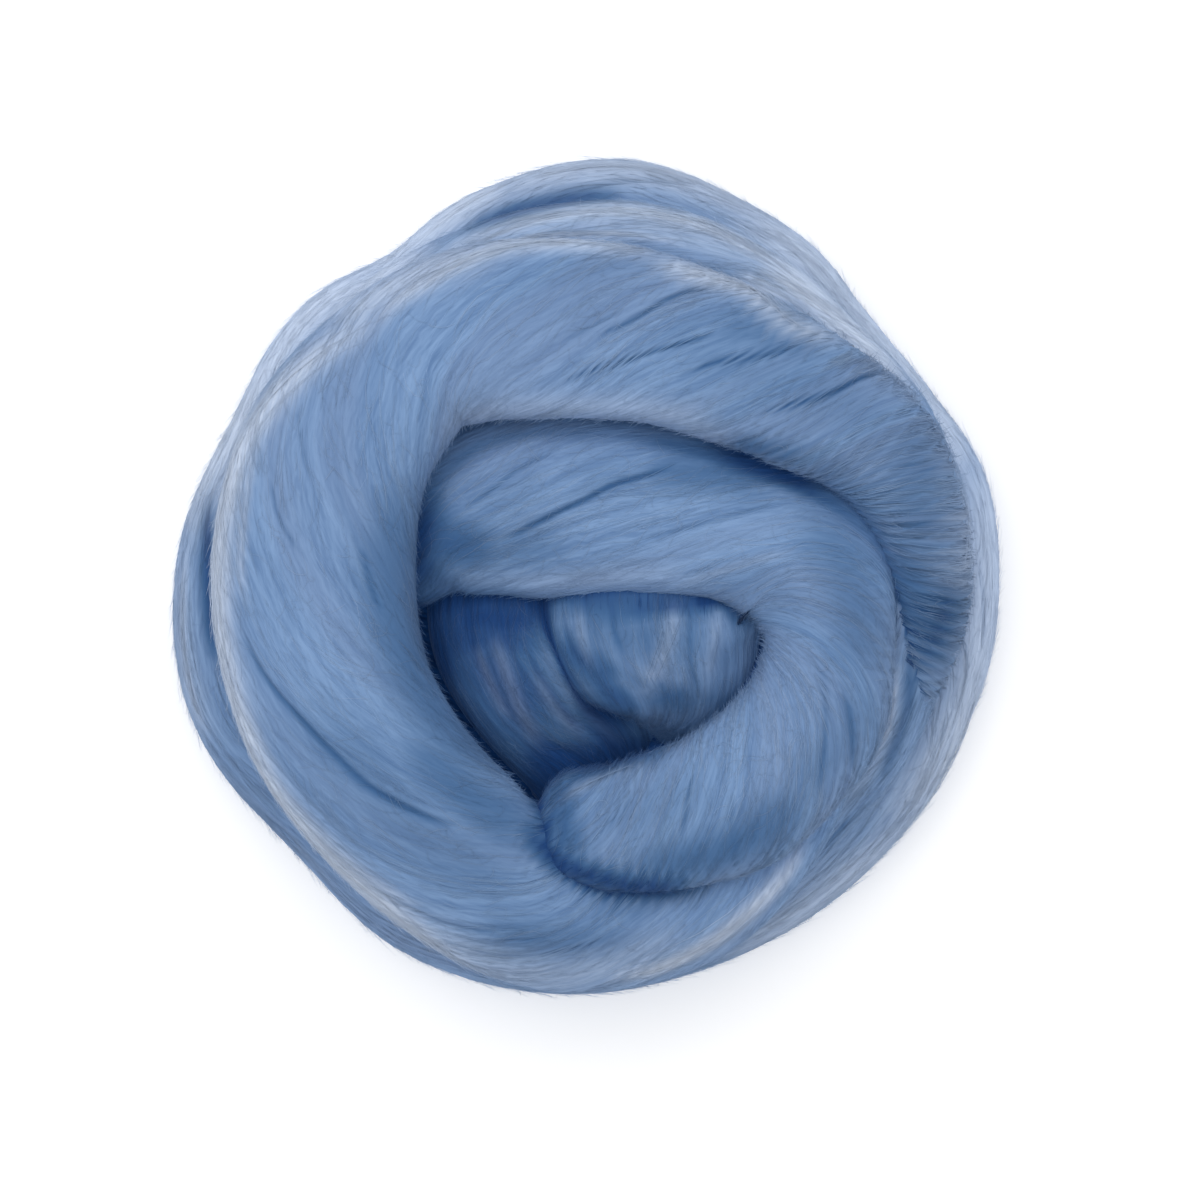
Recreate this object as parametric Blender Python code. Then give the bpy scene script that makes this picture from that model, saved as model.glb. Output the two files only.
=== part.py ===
"""A nest of wound wool roving: one loose, softly twisted length of combed wool, wound into a bun.

The wound form is one solid. Its laps are swept bands with a flattened oval section, tabled below as
they lie in the nest: a base coil, two outer laps, the wide top lap, the inner hook with its tucked
end, and two folds of the heart that show in the hollow. They are merged into one closed body, and
the nest stands on a small flat spot where its own weight presses it on the table.

Metres, +Z up. The origin is on the table, under the middle of the nest.
"""

import math

import bmesh
import bpy
import numpy as np

MM = 0.001

# Driving sizes
SECTION_SQUARENESS = 2.25  # exponent of the oval section: 2 is an ellipse, more is boxier
SECTION_POINTS = 24  # round one band
RINGS_PER_ROW = 5  # sections swept between two rows of a table
END_ROUNDING_MM = 9.0  # length over which a lap's end closes to a dome
SMALLEST_END = 0.03  # of that length, where the dome stops at a small cap
FLAT_SPOT_SINK_MM = 0.5  # depth that the table presses flat under the base coil
MERGE_VOXEL_MM = 1.3  # grain of the merge of the laps
CREASE_SOFTENING_PASSES = 8  # smoothing passes after the merge
TARGET_TRIANGLES = 8600
CORE_STEPS = 64  # round the packed core
FLAT_TOLERANCE_MM = 0.001  # corners of the cut this near the table are put on it

WOOL_BLUE = (0.172, 0.288, 0.468, 1.0)
WOOL_ROUGHNESS = 0.92

# Each row is one section of a lap, counter-clockwise seen from above. Coil rows place the middle of
# the section by its angle and radius round the winding axis, and fold rows by x and y. height_mm is
# above the table, half_width_mm lies along the band's face and half_thickness_mm through it.
# drop_deg tips the face outwards: 0 lies flat, 90 stands with its face to the side.
COIL_COLUMNS = ("angle_deg", "radius_mm", "height_mm", "half_width_mm", "half_thickness_mm", "drop_deg")
COILS = {
    "base_coil": (
        (-40, 2.5, 11.5, 11.0, 8.4, 0),
        (40, 9.5, 10.5, 13.0, 9.5, 0),
        (110, 14.0, 9.8, 14.0, 9.8, 2),
        (180, 18.0, 9.6, 15.0, 9.9, 3),
        (250, 21.5, 9.8, 15.5, 10.1, 4),
        (320, 26.0, 10.0, 15.5, 10.2, 6),
        (390, 30.0, 10.4, 15.5, 10.2, 9),
        (450, 33.0, 10.9, 15.0, 9.8, 12),
        (510, 35.0, 11.5, 14.5, 9.6, 15),
        (570, 36.5, 12.2, 14.5, 9.6, 18),
        (620, 37.5, 13.0, 14.0, 9.2, 22),
        (655, 38.5, 14.0, 12.5, 8.4, 28),
    ),
    "lower_lap": (
        (-62, 41.0, 13.5, 11.0, 7.5, 50),
        (-38, 46.6, 14.6, 13.5, 8.8, 60),
        (-15, 50.4, 15.4, 14.5, 9.6, 66),
        (10, 51.0, 16.0, 15.0, 9.8, 68),
        (38, 47.8, 16.2, 15.0, 9.4, 68),
        (60, 50.0, 16.2, 15.0, 9.8, 68),
        (84, 51.9, 16.2, 15.0, 9.8, 68),
        (104, 50.2, 16.0, 15.0, 9.6, 68),
        (121, 46.8, 15.8, 14.5, 9.4, 68),
        (138, 48.6, 15.8, 14.5, 9.4, 68),
        (155, 47.6, 16.0, 14.5, 9.6, 68),
        (178, 50.7, 16.2, 15.0, 9.8, 68),
        (200, 52.4, 16.2, 15.0, 9.8, 68),
        (224, 49.8, 15.8, 15.0, 9.6, 68),
        (246, 52.2, 15.6, 15.0, 9.8, 68),
        (270, 51.8, 15.4, 15.0, 9.8, 68),
        (298, 50.4, 15.4, 15.0, 9.6, 68),
        (325, 50.3, 15.8, 14.5, 9.4, 68),
        (348, 50.2, 17.3, 13.5, 8.8, 66),
        (368, 47.0, 19.5, 12.0, 7.8, 62),
        (385, 42.5, 21.0, 10.0, 6.5, 58),
    ),
    "middle_lap": (
        (58, 40.0, 29.0, 9.0, 6.5, 40),
        (78, 45.0, 31.5, 11.0, 7.6, 48),
        (100, 45.6, 32.5, 12.0, 8.0, 52),
        (122, 45.0, 32.5, 12.5, 8.0, 54),
        (145, 45.2, 32.0, 12.5, 8.0, 56),
        (170, 46.6, 31.5, 12.5, 8.0, 58),
        (195, 47.6, 31.0, 12.5, 8.0, 58),
        (220, 46.8, 30.5, 12.5, 8.0, 58),
        (245, 48.0, 29.5, 12.5, 8.0, 56),
        (270, 48.4, 28.5, 12.5, 8.0, 54),
        (295, 46.8, 28.5, 12.5, 8.2, 52),
        (318, 45.0, 30.0, 12.5, 8.4, 52),
        (340, 46.0, 31.5, 12.5, 8.4, 56),
        (362, 47.4, 32.5, 12.0, 8.2, 60),
        (384, 47.4, 33.8, 12.0, 8.0, 58),
        (404, 45.2, 35.0, 12.0, 8.0, 52),
        (424, 45.4, 35.8, 12.0, 8.0, 46),
        (444, 45.8, 35.8, 12.0, 8.0, 42),
        (466, 45.2, 35.2, 11.5, 7.8, 42),
        (486, 43.0, 34.2, 10.0, 7.0, 42),
        (502, 39.6, 33.2, 8.5, 6.0, 42),
    ),
    "top_lap": (
        (-48, 40.0, 20.0, 9.5, 6.5, 24),
        (-28, 45.2, 25.5, 10.0, 7.5, 30),
        (-10, 47.4, 33.0, 10.0, 8.0, 34),
        (6, 47.4, 39.0, 10.6, 8.4, 30),
        (22, 46.0, 42.6, 11.4, 8.8, 24),
        (38, 42.4, 44.4, 12.0, 9.2, 19),
        (56, 38.6, 45.4, 13.0, 9.5, 15),
        (78, 37.0, 45.8, 13.8, 9.6, 14),
        (105, 37.4, 46.2, 14.0, 9.6, 15),
        (131, 40.0, 46.2, 14.2, 9.6, 18),
        (155, 41.0, 46.2, 15.4, 10.0, 18),
        (180, 40.6, 46.2, 15.4, 10.0, 18),
        (205, 41.6, 45.6, 15.0, 10.0, 18),
        (228, 43.0, 44.0, 14.2, 9.6, 16),
        (248, 45.8, 41.0, 13.8, 9.0, 14),
        (266, 48.2, 37.5, 13.8, 8.6, 10),
        (286, 47.0, 34.2, 13.2, 8.2, 6),
        (306, 42.6, 31.8, 12.2, 8.0, 4),
        (325, 38.8, 30.0, 11.6, 8.0, 2),
        (345, 37.0, 28.5, 11.0, 7.5, 0),
        (363, 34.0, 26.5, 10.0, 7.0, 0),
    ),
}
FOLD_COLUMNS = ("x_mm", "y_mm", "height_mm", "half_width_mm", "half_thickness_mm", "drop_deg")
FOLDS = {
    "inner_hook": (
        (-9.0, -36.6, 37.0, 5.6, 5.0, 0),
        (-3.6, -37.4, 41.2, 8.6, 7.4, 2),
        (6.0, -37.8, 43.6, 10.2, 8.6, 4),
        (21.0, -33.2, 44.2, 11.4, 8.8, 7),
        (32.4, -22.6, 43.4, 10.9, 8.6, 9),
        (36.4, -9.6, 42.2, 10.4, 8.5, 8),
        (32.2, 0.6, 40.6, 11.2, 8.5, 5),
        (22.8, 7.4, 39.0, 13.0, 8.7, 2),
        (9.3, 10.4, 37.8, 14.4, 8.9, 0),
        (-4.2, 10.6, 37.0, 14.4, 8.9, 0),
        (-20.7, 7.2, 35.6, 13.2, 8.5, 3),
        (-28.4, 0.0, 33.0, 11.5, 7.8, 6),
        (-33.0, -6.0, 31.0, 9.0, 6.5, 6),
    ),
    "heart_fold": (
        (10.5, 8.0, 25.0, 12.0, 6.5, 0),
        (10.2, 0.0, 31.0, 15.0, 7.2, 0),
        (10.0, -6.0, 33.8, 15.6, 7.6, 0),
        (10.6, -11.5, 33.0, 14.0, 7.4, 0),
        (11.2, -16.0, 29.6, 10.6, 7.0, 0),
        (11.0, -19.4, 24.0, 7.4, 6.4, 0),
        (10.9, -21.2, 16.0, 6.2, 6.0, 0),
        (10.9, -21.8, 9.0, 6.0, 5.5, 0),
    ),
    "heart_tuck": (
        (-14.0, 5.0, 22.0, 7.0, 6.0, 0),
        (-14.2, -3.0, 29.0, 7.0, 6.6, 0),
        (-12.6, -9.5, 31.0, 6.8, 6.8, 0),
        (-8.5, -15.0, 30.0, 7.4, 6.8, 0),
        (-4.2, -20.0, 27.5, 8.2, 6.6, 0),
        (-0.5, -25.0, 21.0, 8.4, 6.2, 0),
        (1.0, -28.0, 13.0, 8.0, 6.0, 0),
    ),
}


# The wool packed behind the laps, turned about the winding axis: its underside, its side and the
# raised rim that carries the upper laps round the hollow. Columns: radius_mm, height_mm.
CORE_PROFILE = (
    (0, 2.5),
    (28, 2.5),
    (40, 6.0),
    (46, 14.0),
    (46, 22.0),
    (43, 30.0),
    (38, 35.0),
    (33, 34.0),
    (29, 30.0),
    (26, 26.5),
    (20, 25.5),
    (0, 26.0),
)


def clear_scene():
    for obj in list(bpy.data.objects):
        bpy.data.objects.remove(obj, do_unlink=True)


def smooth_rows(rows, per_span):
    """Sections between the rows, on Catmull-Rom splines through them."""
    rows = np.asarray(rows, float)
    padded = np.vstack([2 * rows[0] - rows[1], rows, 2 * rows[-1] - rows[-2]])
    out = []
    for i in range(1, len(padded) - 2):
        before, start, end, after = padded[i - 1 : i + 3]
        for t in np.arange(per_span) / per_span:
            out.append(
                0.5
                * (
                    2 * start
                    + (end - before) * t
                    + (2 * before - 5 * start + 4 * end - after) * t**2
                    + (3 * start - before - 3 * end + after) * t**3
                )
            )
    out.append(rows[-1])
    return np.array(out)


def column(table, columns, name):
    return table[:, columns.index(name)]


def coil_rows(rows):
    """Coil rows with their angle and radius turned into x and y, as the fold rows have them."""
    table = np.asarray(rows, float)
    angle = np.radians(column(table, COIL_COLUMNS, "angle_deg"))
    radius = column(table, COIL_COLUMNS, "radius_mm")
    return np.column_stack([radius * np.cos(angle), radius * np.sin(angle), table[:, 2:]])


def laps():
    """Every lap's rows by name, each with its middle in x and y."""
    return {name: coil_rows(rows) for name, rows in COILS.items()} | FOLDS


def lap_rings(rows):
    """Rings of points down one lap, in millimetres: rings, points round each, xyz."""
    sections = smooth_rows(rows, RINGS_PER_ROW)
    path = sections[:, :3]
    half_width = column(sections, FOLD_COLUMNS, "half_width_mm")
    half_thickness = column(sections, FOLD_COLUMNS, "half_thickness_mm")
    drop = np.radians(column(sections, FOLD_COLUMNS, "drop_deg"))
    tangent = np.gradient(path, axis=0)
    tangent /= np.linalg.norm(tangent, axis=1, keepdims=True)
    outward = np.cross(tangent, (0.0, 0.0, 1.0))
    outward /= np.linalg.norm(outward, axis=1, keepdims=True)
    above = np.cross(outward, tangent)

    travelled = np.concatenate([[0], np.cumsum(np.linalg.norm(np.diff(path, axis=0), axis=1))])
    from_end = np.minimum(travelled, travelled[-1] - travelled)
    dome = np.clip(from_end / END_ROUNDING_MM, SMALLEST_END, 1)
    dome = np.sqrt(1 - (1 - dome) ** 2)

    round_it = np.arange(SECTION_POINTS) * 2 * math.pi / SECTION_POINTS
    power = 2 / SECTION_SQUARENESS
    across = np.sign(np.cos(round_it)) * np.abs(np.cos(round_it)) ** power
    through = np.sign(np.sin(round_it)) * np.abs(np.sin(round_it)) ** power

    lean, upright = np.sin(drop)[:, None], np.cos(drop)[:, None]
    face = outward * upright - above * lean
    normal = outward * lean + above * upright
    wide = (half_width * dome)[:, None, None] * across[None, :, None] * face[:, None, :]
    thick = (half_thickness * dome)[:, None, None] * through[None, :, None] * normal[:, None, :]
    return path[:, None, :] + wide + thick


def add_tube(bm, rings):
    """Adds one closed tube through the rings, with a flat cap on each small end."""
    loops = [[bm.verts.new(point * MM) for point in ring] for ring in rings]
    for ring, following in zip(loops, loops[1:]):
        for i in range(SECTION_POINTS):
            j = (i + 1) % SECTION_POINTS
            bm.faces.new((ring[i], following[i], following[j], ring[j]))
    bm.faces.new(loops[0])
    bm.faces.new(list(reversed(loops[-1])))


def add_core(bm):
    """Adds the packed core, its profile turned about the winding axis."""
    turns = [i * 2 * math.pi / CORE_STEPS for i in range(CORE_STEPS)]
    bottom = bm.verts.new((0, 0, CORE_PROFILE[0][1] * MM))
    top = bm.verts.new((0, 0, CORE_PROFILE[-1][1] * MM))
    rings = []
    for radius, height in CORE_PROFILE[1:-1]:
        points = [(radius * math.cos(turn), radius * math.sin(turn), height) for turn in turns]
        rings.append([bm.verts.new([value * MM for value in point]) for point in points])
    for i in range(CORE_STEPS):
        j = (i + 1) % CORE_STEPS
        bm.faces.new((bottom, rings[0][j], rings[0][i]))
        bm.faces.new((top, rings[-1][i], rings[-1][j]))
        for ring, following in zip(rings, rings[1:]):
            bm.faces.new((ring[i], ring[j], following[j], following[i]))


def evaluated_mesh(obj):
    graph = bpy.context.evaluated_depsgraph_get()
    return bpy.data.meshes.new_from_object(obj.evaluated_get(graph))


def apply_modifiers(obj):
    mesh = evaluated_mesh(obj)
    obj.modifiers.clear()
    obj.data = mesh


def keep_outer_shell(bm):
    """Drops the walls of voids sealed between the laps, so that the body is solid wool."""
    unseen = set(bm.faces)
    shells = []
    while unseen:
        todo = [unseen.pop()]
        shell = []
        while todo:
            face = todo.pop()
            shell.append(face)
            for edge in face.edges:
                for neighbour in edge.link_faces:
                    if neighbour in unseen:
                        unseen.remove(neighbour)
                        todo.append(neighbour)
        shells.append(shell)
    outer = max(shells, key=len)
    inner = [face for shell in shells if shell is not outer for face in shell]
    bmesh.ops.delete(bm, geom=inner, context="FACES")


def press_flat(bm):
    """Cuts the base flat where it rests, with the flat spot at z = 0."""
    lowest = min(vert.co.z for vert in bm.verts) + FLAT_SPOT_SINK_MM * MM
    bmesh.ops.translate(bm, vec=(0, 0, -lowest), verts=bm.verts)
    bmesh.ops.bisect_plane(
        bm,
        geom=bm.verts[:] + bm.edges[:] + bm.faces[:],
        plane_co=(0, 0, 0),
        plane_no=(0, 0, 1),
        clear_inner=True,
    )
    rim = [edge for edge in bm.edges if edge.is_boundary]
    bmesh.ops.holes_fill(bm, edges=rim, sides=0)
    for vert in bm.verts:
        if abs(vert.co.z) < FLAT_TOLERANCE_MM * MM:
            vert.co.z = 0


def centre_footprint(bm):
    """Puts the origin under the middle of the nest."""
    for axis in (0, 1):
        values = [vert.co[axis] for vert in bm.verts]
        middle = (min(values) + max(values)) / 2
        for vert in bm.verts:
            vert.co[axis] -= middle


def wool_material():
    material = bpy.data.materials.new("wool")
    material.use_nodes = True
    shader = material.node_tree.nodes["Principled BSDF"]
    shader.inputs["Base Color"].default_value = WOOL_BLUE
    shader.inputs["Roughness"].default_value = WOOL_ROUGHNESS
    shader.inputs["Metallic"].default_value = 0.0
    return material


def build_nest():
    bm = bmesh.new()
    for rows in laps().values():
        add_tube(bm, lap_rings(rows))
    add_core(bm)
    bmesh.ops.recalc_face_normals(bm, faces=bm.faces[:])
    mesh = bpy.data.meshes.new("roving_nest")
    bm.to_mesh(mesh)
    bm.free()
    nest = bpy.data.objects.new("roving_nest", mesh)
    bpy.context.scene.collection.objects.link(nest)

    merge = nest.modifiers.new("merge_laps", "REMESH")
    merge.mode = "VOXEL"
    merge.voxel_size = MERGE_VOXEL_MM * MM
    soften = nest.modifiers.new("soften_creases", "SMOOTH")
    soften.factor = 0.5
    soften.iterations = CREASE_SOFTENING_PASSES
    apply_modifiers(nest)

    bm = bmesh.new()
    bm.from_mesh(nest.data)
    keep_outer_shell(bm)
    bmesh.ops.triangulate(bm, faces=bm.faces[:])
    triangles = len(bm.faces)
    bm.to_mesh(nest.data)
    bm.free()

    thin = nest.modifiers.new("thin_out", "DECIMATE")
    thin.ratio = min(1.0, TARGET_TRIANGLES / triangles)
    apply_modifiers(nest)

    bm = bmesh.new()
    bm.from_mesh(nest.data)
    press_flat(bm)
    centre_footprint(bm)
    bmesh.ops.triangulate(bm, faces=bm.faces[:])
    bm.to_mesh(nest.data)
    bm.free()
    nest.data.materials.clear()
    nest.data.materials.append(wool_material())
    nest.data.shade_smooth()
    return nest


def main():
    clear_scene()
    build_nest()


main()
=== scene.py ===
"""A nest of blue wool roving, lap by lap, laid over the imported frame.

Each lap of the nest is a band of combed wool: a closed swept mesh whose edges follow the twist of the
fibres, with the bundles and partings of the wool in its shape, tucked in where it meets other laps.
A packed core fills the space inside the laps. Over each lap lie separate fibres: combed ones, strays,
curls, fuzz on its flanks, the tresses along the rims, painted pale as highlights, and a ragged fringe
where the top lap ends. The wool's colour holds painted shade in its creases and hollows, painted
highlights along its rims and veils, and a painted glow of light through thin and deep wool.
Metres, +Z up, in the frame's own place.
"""

import functools
import math

import bpy
import numpy as np
from bpy.props import FloatProperty, FloatVectorProperty, IntProperty, PointerProperty
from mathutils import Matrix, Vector
from mathutils.bvhtree import BVHTree


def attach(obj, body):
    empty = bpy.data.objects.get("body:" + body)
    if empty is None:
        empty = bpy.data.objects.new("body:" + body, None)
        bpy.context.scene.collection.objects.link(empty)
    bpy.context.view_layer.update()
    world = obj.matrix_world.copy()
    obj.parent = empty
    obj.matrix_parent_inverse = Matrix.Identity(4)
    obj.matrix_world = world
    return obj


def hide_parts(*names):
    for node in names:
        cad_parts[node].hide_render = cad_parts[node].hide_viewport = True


bl_info = {
    "name": "Wool Roving Nest",
    "version": (2, 0, 0),
    "blender": (4, 5, 0),
    "location": "3D View > Sidebar > Roving",
    "description": "Builds a nest of wool roving lap by lap, with its loose fibres and a plain studio",
    "category": "Add Mesh",
}

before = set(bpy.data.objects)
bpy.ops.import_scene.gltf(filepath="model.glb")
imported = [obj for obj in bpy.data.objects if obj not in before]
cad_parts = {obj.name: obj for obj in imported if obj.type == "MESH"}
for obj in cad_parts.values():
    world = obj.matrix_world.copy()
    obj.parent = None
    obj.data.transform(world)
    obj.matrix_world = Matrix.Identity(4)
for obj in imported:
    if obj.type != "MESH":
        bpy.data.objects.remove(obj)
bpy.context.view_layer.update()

NODE = "roving_nest"
BODY = "root"
MM = 0.001

# The laps

SECTION_SQUARENESS = 2.25  # exponent of a band's oval section: 2 is an ellipse, more is boxier
END_ROUNDING_MM = 9.0  # length over which a lap's end closes to a dome
SMALLEST_END = 0.03  # of that length, where the dome stops at a small cap
SPLINE_STEPS = 12  # between two rows of a table, before the rings are spaced evenly
LATTICE_MM = 1.0  # between the rings of a lap's smooth surface
LATTICE_POINTS = 128  # round each ring
LEAST_GIRTH = 0.6  # of a lap's greatest, that its fibres are taken to go round where it tapers
TABLE_SINK_MM = 0.2  # the tables lie this much above the frame, whose base is pressed flat
FOOT_MM = 0.04  # height of the pressed base over the floor

# One row per section of a lap, counter-clockwise seen from above. Coil rows place the middle of the
# section by its angle and radius round the winding axis, and fold rows by x and y. height_mm is above
# the table, half_width_mm lies along the band's face and half_thickness_mm through it. drop_deg tips
# the face outwards: 0 lies flat, 90 stands with its face to the side. lay_deg is the slant of the
# fibres across the band.
COIL_COLUMNS = (
    "angle_deg", "radius_mm", "height_mm", "half_width_mm", "half_thickness_mm", "drop_deg",
    "lay_deg",
)
COILS = {
    "base_coil": (
        (200, 7.0, 12.5, 6.5, 6.5, 0, 14),
        (-20, 6.5, 11.5, 7.5, 8.0, 0, 14),
        (38, 11.0, 10.5, 9.0, 9.3, 0, 14),
        (110, 14.5, 9.8, 12.0, 9.8, 2, 14),
        (180, 18.0, 9.6, 14.5, 9.9, 3, 14),
        (250, 21.5, 9.8, 15.5, 10.1, 4, 14),
        (320, 26.0, 10.0, 15.5, 10.2, 6, 14),
        (390, 30.0, 10.4, 15.5, 10.2, 9, 14),
        (450, 33.0, 10.9, 15.0, 9.8, 12, 14),
        (510, 35.0, 11.5, 14.5, 9.6, 15, 14),
        (570, 36.5, 12.2, 14.5, 9.6, 18, 14),
        (620, 37.5, 13.0, 14.0, 9.2, 22, 14),
        (655, 38.5, 14.0, 12.5, 8.4, 28, 14),
    ),
    "lower_lap": (
        (-62, 41.0, 13.5, 11.0, 7.5, 50, 12),
        (-38, 46.6, 14.6, 13.5, 8.8, 60, 12),
        (-15, 50.4, 15.4, 14.5, 9.6, 66, 10),
        (10, 51.0, 16.0, 15.0, 9.8, 68, 10),
        (26, 48.1, 16.1, 15.0, 9.6, 68, 10),
        (38, 46.8, 16.2, 15.0, 9.4, 68, 12),
        (48, 47.2, 16.2, 15.0, 9.6, 68, 12),
        (60, 49.2, 16.2, 15.0, 9.8, 68, 12),
        (84, 51.9, 16.2, 15.0, 9.8, 68, 12),
        (104, 49.7, 16.0, 15.0, 9.6, 68, 12),
        (121, 46.2, 15.8, 14.5, 9.4, 68, 12),
        (138, 48.6, 15.8, 14.5, 9.4, 68, 12),
        (155, 47.6, 16.0, 14.5, 9.6, 68, 12),
        (178, 50.7, 16.2, 15.0, 9.8, 68, 12),
        (200, 52.4, 16.2, 15.0, 9.8, 68, 12),
        (224, 49.8, 15.8, 15.0, 9.6, 68, 12),
        (246, 52.2, 15.6, 15.0, 9.8, 68, 12),
        (270, 51.8, 15.4, 15.0, 9.8, 68, 12),
        (298, 50.4, 15.4, 15.0, 9.6, 68, 12),
        (325, 50.3, 15.8, 14.5, 9.4, 68, 10),
        (348, 50.2, 17.3, 13.5, 8.8, 66, 10),
        (368, 47.0, 19.5, 12.0, 7.8, 62, 10),
        (385, 42.5, 21.0, 10.0, 6.5, 58, 10),
    ),
    "middle_lap": (
        (58, 40.0, 29.0, 9.0, 6.5, 40, 14),
        (78, 45.0, 31.5, 11.0, 7.6, 48, 14),
        (100, 45.6, 32.5, 12.0, 8.0, 52, 14),
        (122, 45.0, 32.5, 12.5, 8.0, 54, 14),
        (145, 45.2, 32.0, 12.5, 8.0, 56, 14),
        (170, 46.6, 31.5, 12.5, 8.0, 58, 14),
        (195, 47.6, 31.0, 12.5, 8.0, 58, 14),
        (220, 46.8, 30.5, 12.5, 8.0, 58, 14),
        (245, 48.0, 29.5, 12.5, 8.0, 56, 14),
        (270, 48.4, 28.5, 12.5, 8.0, 54, 14),
        (295, 46.8, 28.5, 12.5, 8.2, 52, 12),
        (318, 45.0, 30.0, 12.5, 8.4, 52, 10),
        (340, 46.0, 31.5, 12.5, 8.4, 56, 10),
        (362, 47.4, 32.5, 12.0, 8.2, 60, 10),
        (384, 47.4, 33.8, 12.0, 8.0, 58, 12),
        (404, 45.2, 35.0, 12.0, 8.0, 52, 14),
        (424, 45.4, 35.8, 12.0, 8.0, 46, 14),
        (444, 45.8, 35.8, 12.0, 8.0, 42, 14),
        (466, 45.2, 35.2, 11.5, 7.8, 42, 14),
        (486, 43.0, 34.2, 10.0, 7.0, 42, 14),
        (502, 39.6, 33.2, 8.5, 6.0, 42, 14),
    ),
    "top_lap": (
        (-48, 40.0, 20.0, 9.5, 6.5, 24, 40),
        (-28, 45.2, 25.5, 10.0, 7.5, 30, 60),
        (-10, 48.6, 33.0, 8.6, 8.0, 34, 72),
        (6, 49.2, 39.0, 7.8, 8.2, 30, 74),
        (22, 47.2, 42.6, 9.6, 8.6, 24, 70),
        (38, 41.7, 44.4, 11.3, 9.2, 19, 60),
        (56, 37.8, 45.4, 12.1, 9.5, 15, 50),
        (78, 36.7, 45.8, 13.4, 9.6, 14, 40),
        (103, 37.7, 46.2, 13.5, 9.6, 15, 36),
        (118, 40.0, 46.2, 13.0, 9.6, 17, 36),
        (132, 41.3, 46.2, 12.7, 9.6, 18, 32),
        (155, 41.5, 46.2, 14.4, 10.0, 18, 29),
        (180, 40.6, 46.2, 15.4, 10.0, 18, 28),
        (205, 41.6, 45.6, 15.0, 10.0, 18, 23),
        (228, 43.0, 44.0, 14.2, 9.6, 16, 22),
        (248, 45.8, 41.0, 13.8, 9.0, 14, 26),
        (266, 48.2, 37.5, 13.8, 8.6, 10, 33),
        (286, 47.0, 35.6, 13.2, 8.2, 6, 28),
        (306, 42.6, 34.6, 12.2, 8.0, 4, 20),
        (325, 38.8, 33.0, 11.6, 8.0, 2, 20),
        (345, 37.0, 30.0, 11.0, 7.5, 0, 20),
        (363, 34.0, 26.5, 10.0, 7.0, 0, 20),
    ),
}
FOLD_COLUMNS = (
    "x_mm", "y_mm", "height_mm", "half_width_mm", "half_thickness_mm", "drop_deg", "lay_deg",
)
FOLDS = {
    "inner_hook": (
        (-9.0, -36.6, 37.0, 5.6, 5.0, 0, 40),
        (-3.6, -37.4, 41.2, 8.6, 7.4, 2, 46),
        (6.0, -37.8, 43.6, 10.2, 8.6, 4, 58),
        (21.0, -33.2, 44.2, 11.4, 8.8, 7, 50),
        (32.4, -22.6, 43.4, 10.9, 8.6, 9, 44),
        (36.4, -9.6, 42.2, 10.4, 8.5, 8, 56),
        (33.2, 1.4, 40.6, 13.0, 8.5, 5, 48),
        (22.8, 7.4, 39.0, 13.0, 8.7, 2, 30),
        (9.3, 10.4, 37.8, 14.4, 8.9, 0, 22),
        (-4.2, 11.2, 37.0, 15.3, 8.9, 0, 22),
        (-20.9, 9.3, 35.6, 13.4, 8.5, 3, 22),
        (-29.0, 4.2, 33.0, 10.5, 7.8, 6, 22),
        (-35.0, 0.0, 31.0, 8.5, 6.5, 6, 22),
    ),
    "heart_fold": (
        (10.5, 8.0, 25.0, 12.0, 6.5, 0, 2),
        (10.6, 0.0, 31.4, 17.2, 7.4, 0, 2),
        (10.6, -5.0, 34.2, 18.0, 7.8, 0, 2),
        (11.6, -10.8, 34.1, 16.4, 7.8, 0, 2),
        (13.0, -15.0, 32.0, 12.6, 7.2, 0, 2),
        (13.0, -17.6, 26.5, 9.4, 6.0, 0, 2),
        (12.0, -18.6, 17.5, 8.0, 5.4, 0, 2),
        (11.6, -18.8, 9.0, 6.5, 5.0, 0, 2),
    ),
    "heart_tuck": (
        (-14.4, 5.0, 22.0, 9.2, 6.0, 6, -6),
        (-14.8, -3.0, 29.0, 9.8, 6.8, 10, -6),
        (-13.6, -10.0, 31.4, 9.8, 7.0, 10, -6),
        (-10.2, -16.0, 31.2, 9.6, 7.0, 8, -6),
        (-5.8, -20.4, 28.4, 10.0, 6.8, 4, -6),
        (-0.6, -23.6, 24.0, 12.0, 6.4, 0, -6),
        (2.4, -26.4, 16.5, 11.5, 6.0, 0, -6),
        (3.2, -28.0, 9.5, 9.5, 6.0, 0, -6),
    ),
}
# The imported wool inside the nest, under the folds, in the folds' columns.
PACKED_CORE = (
    (-38, -2, 16, 8, 4.5, 0, 0),
    (-30, -2, 16, 26, 6.0, 0, 0),
    (-15, -2, 16, 37, 7.0, 0, 0),
    (0, -2, 16, 40, 7.0, 0, 0),
    (15, -2, 16, 37, 7.0, 0, 0),
    (30, -2, 16, 26, 6.0, 0, 0),
    (38, -2, 16, 8, 4.5, 0, 0),
)
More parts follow.
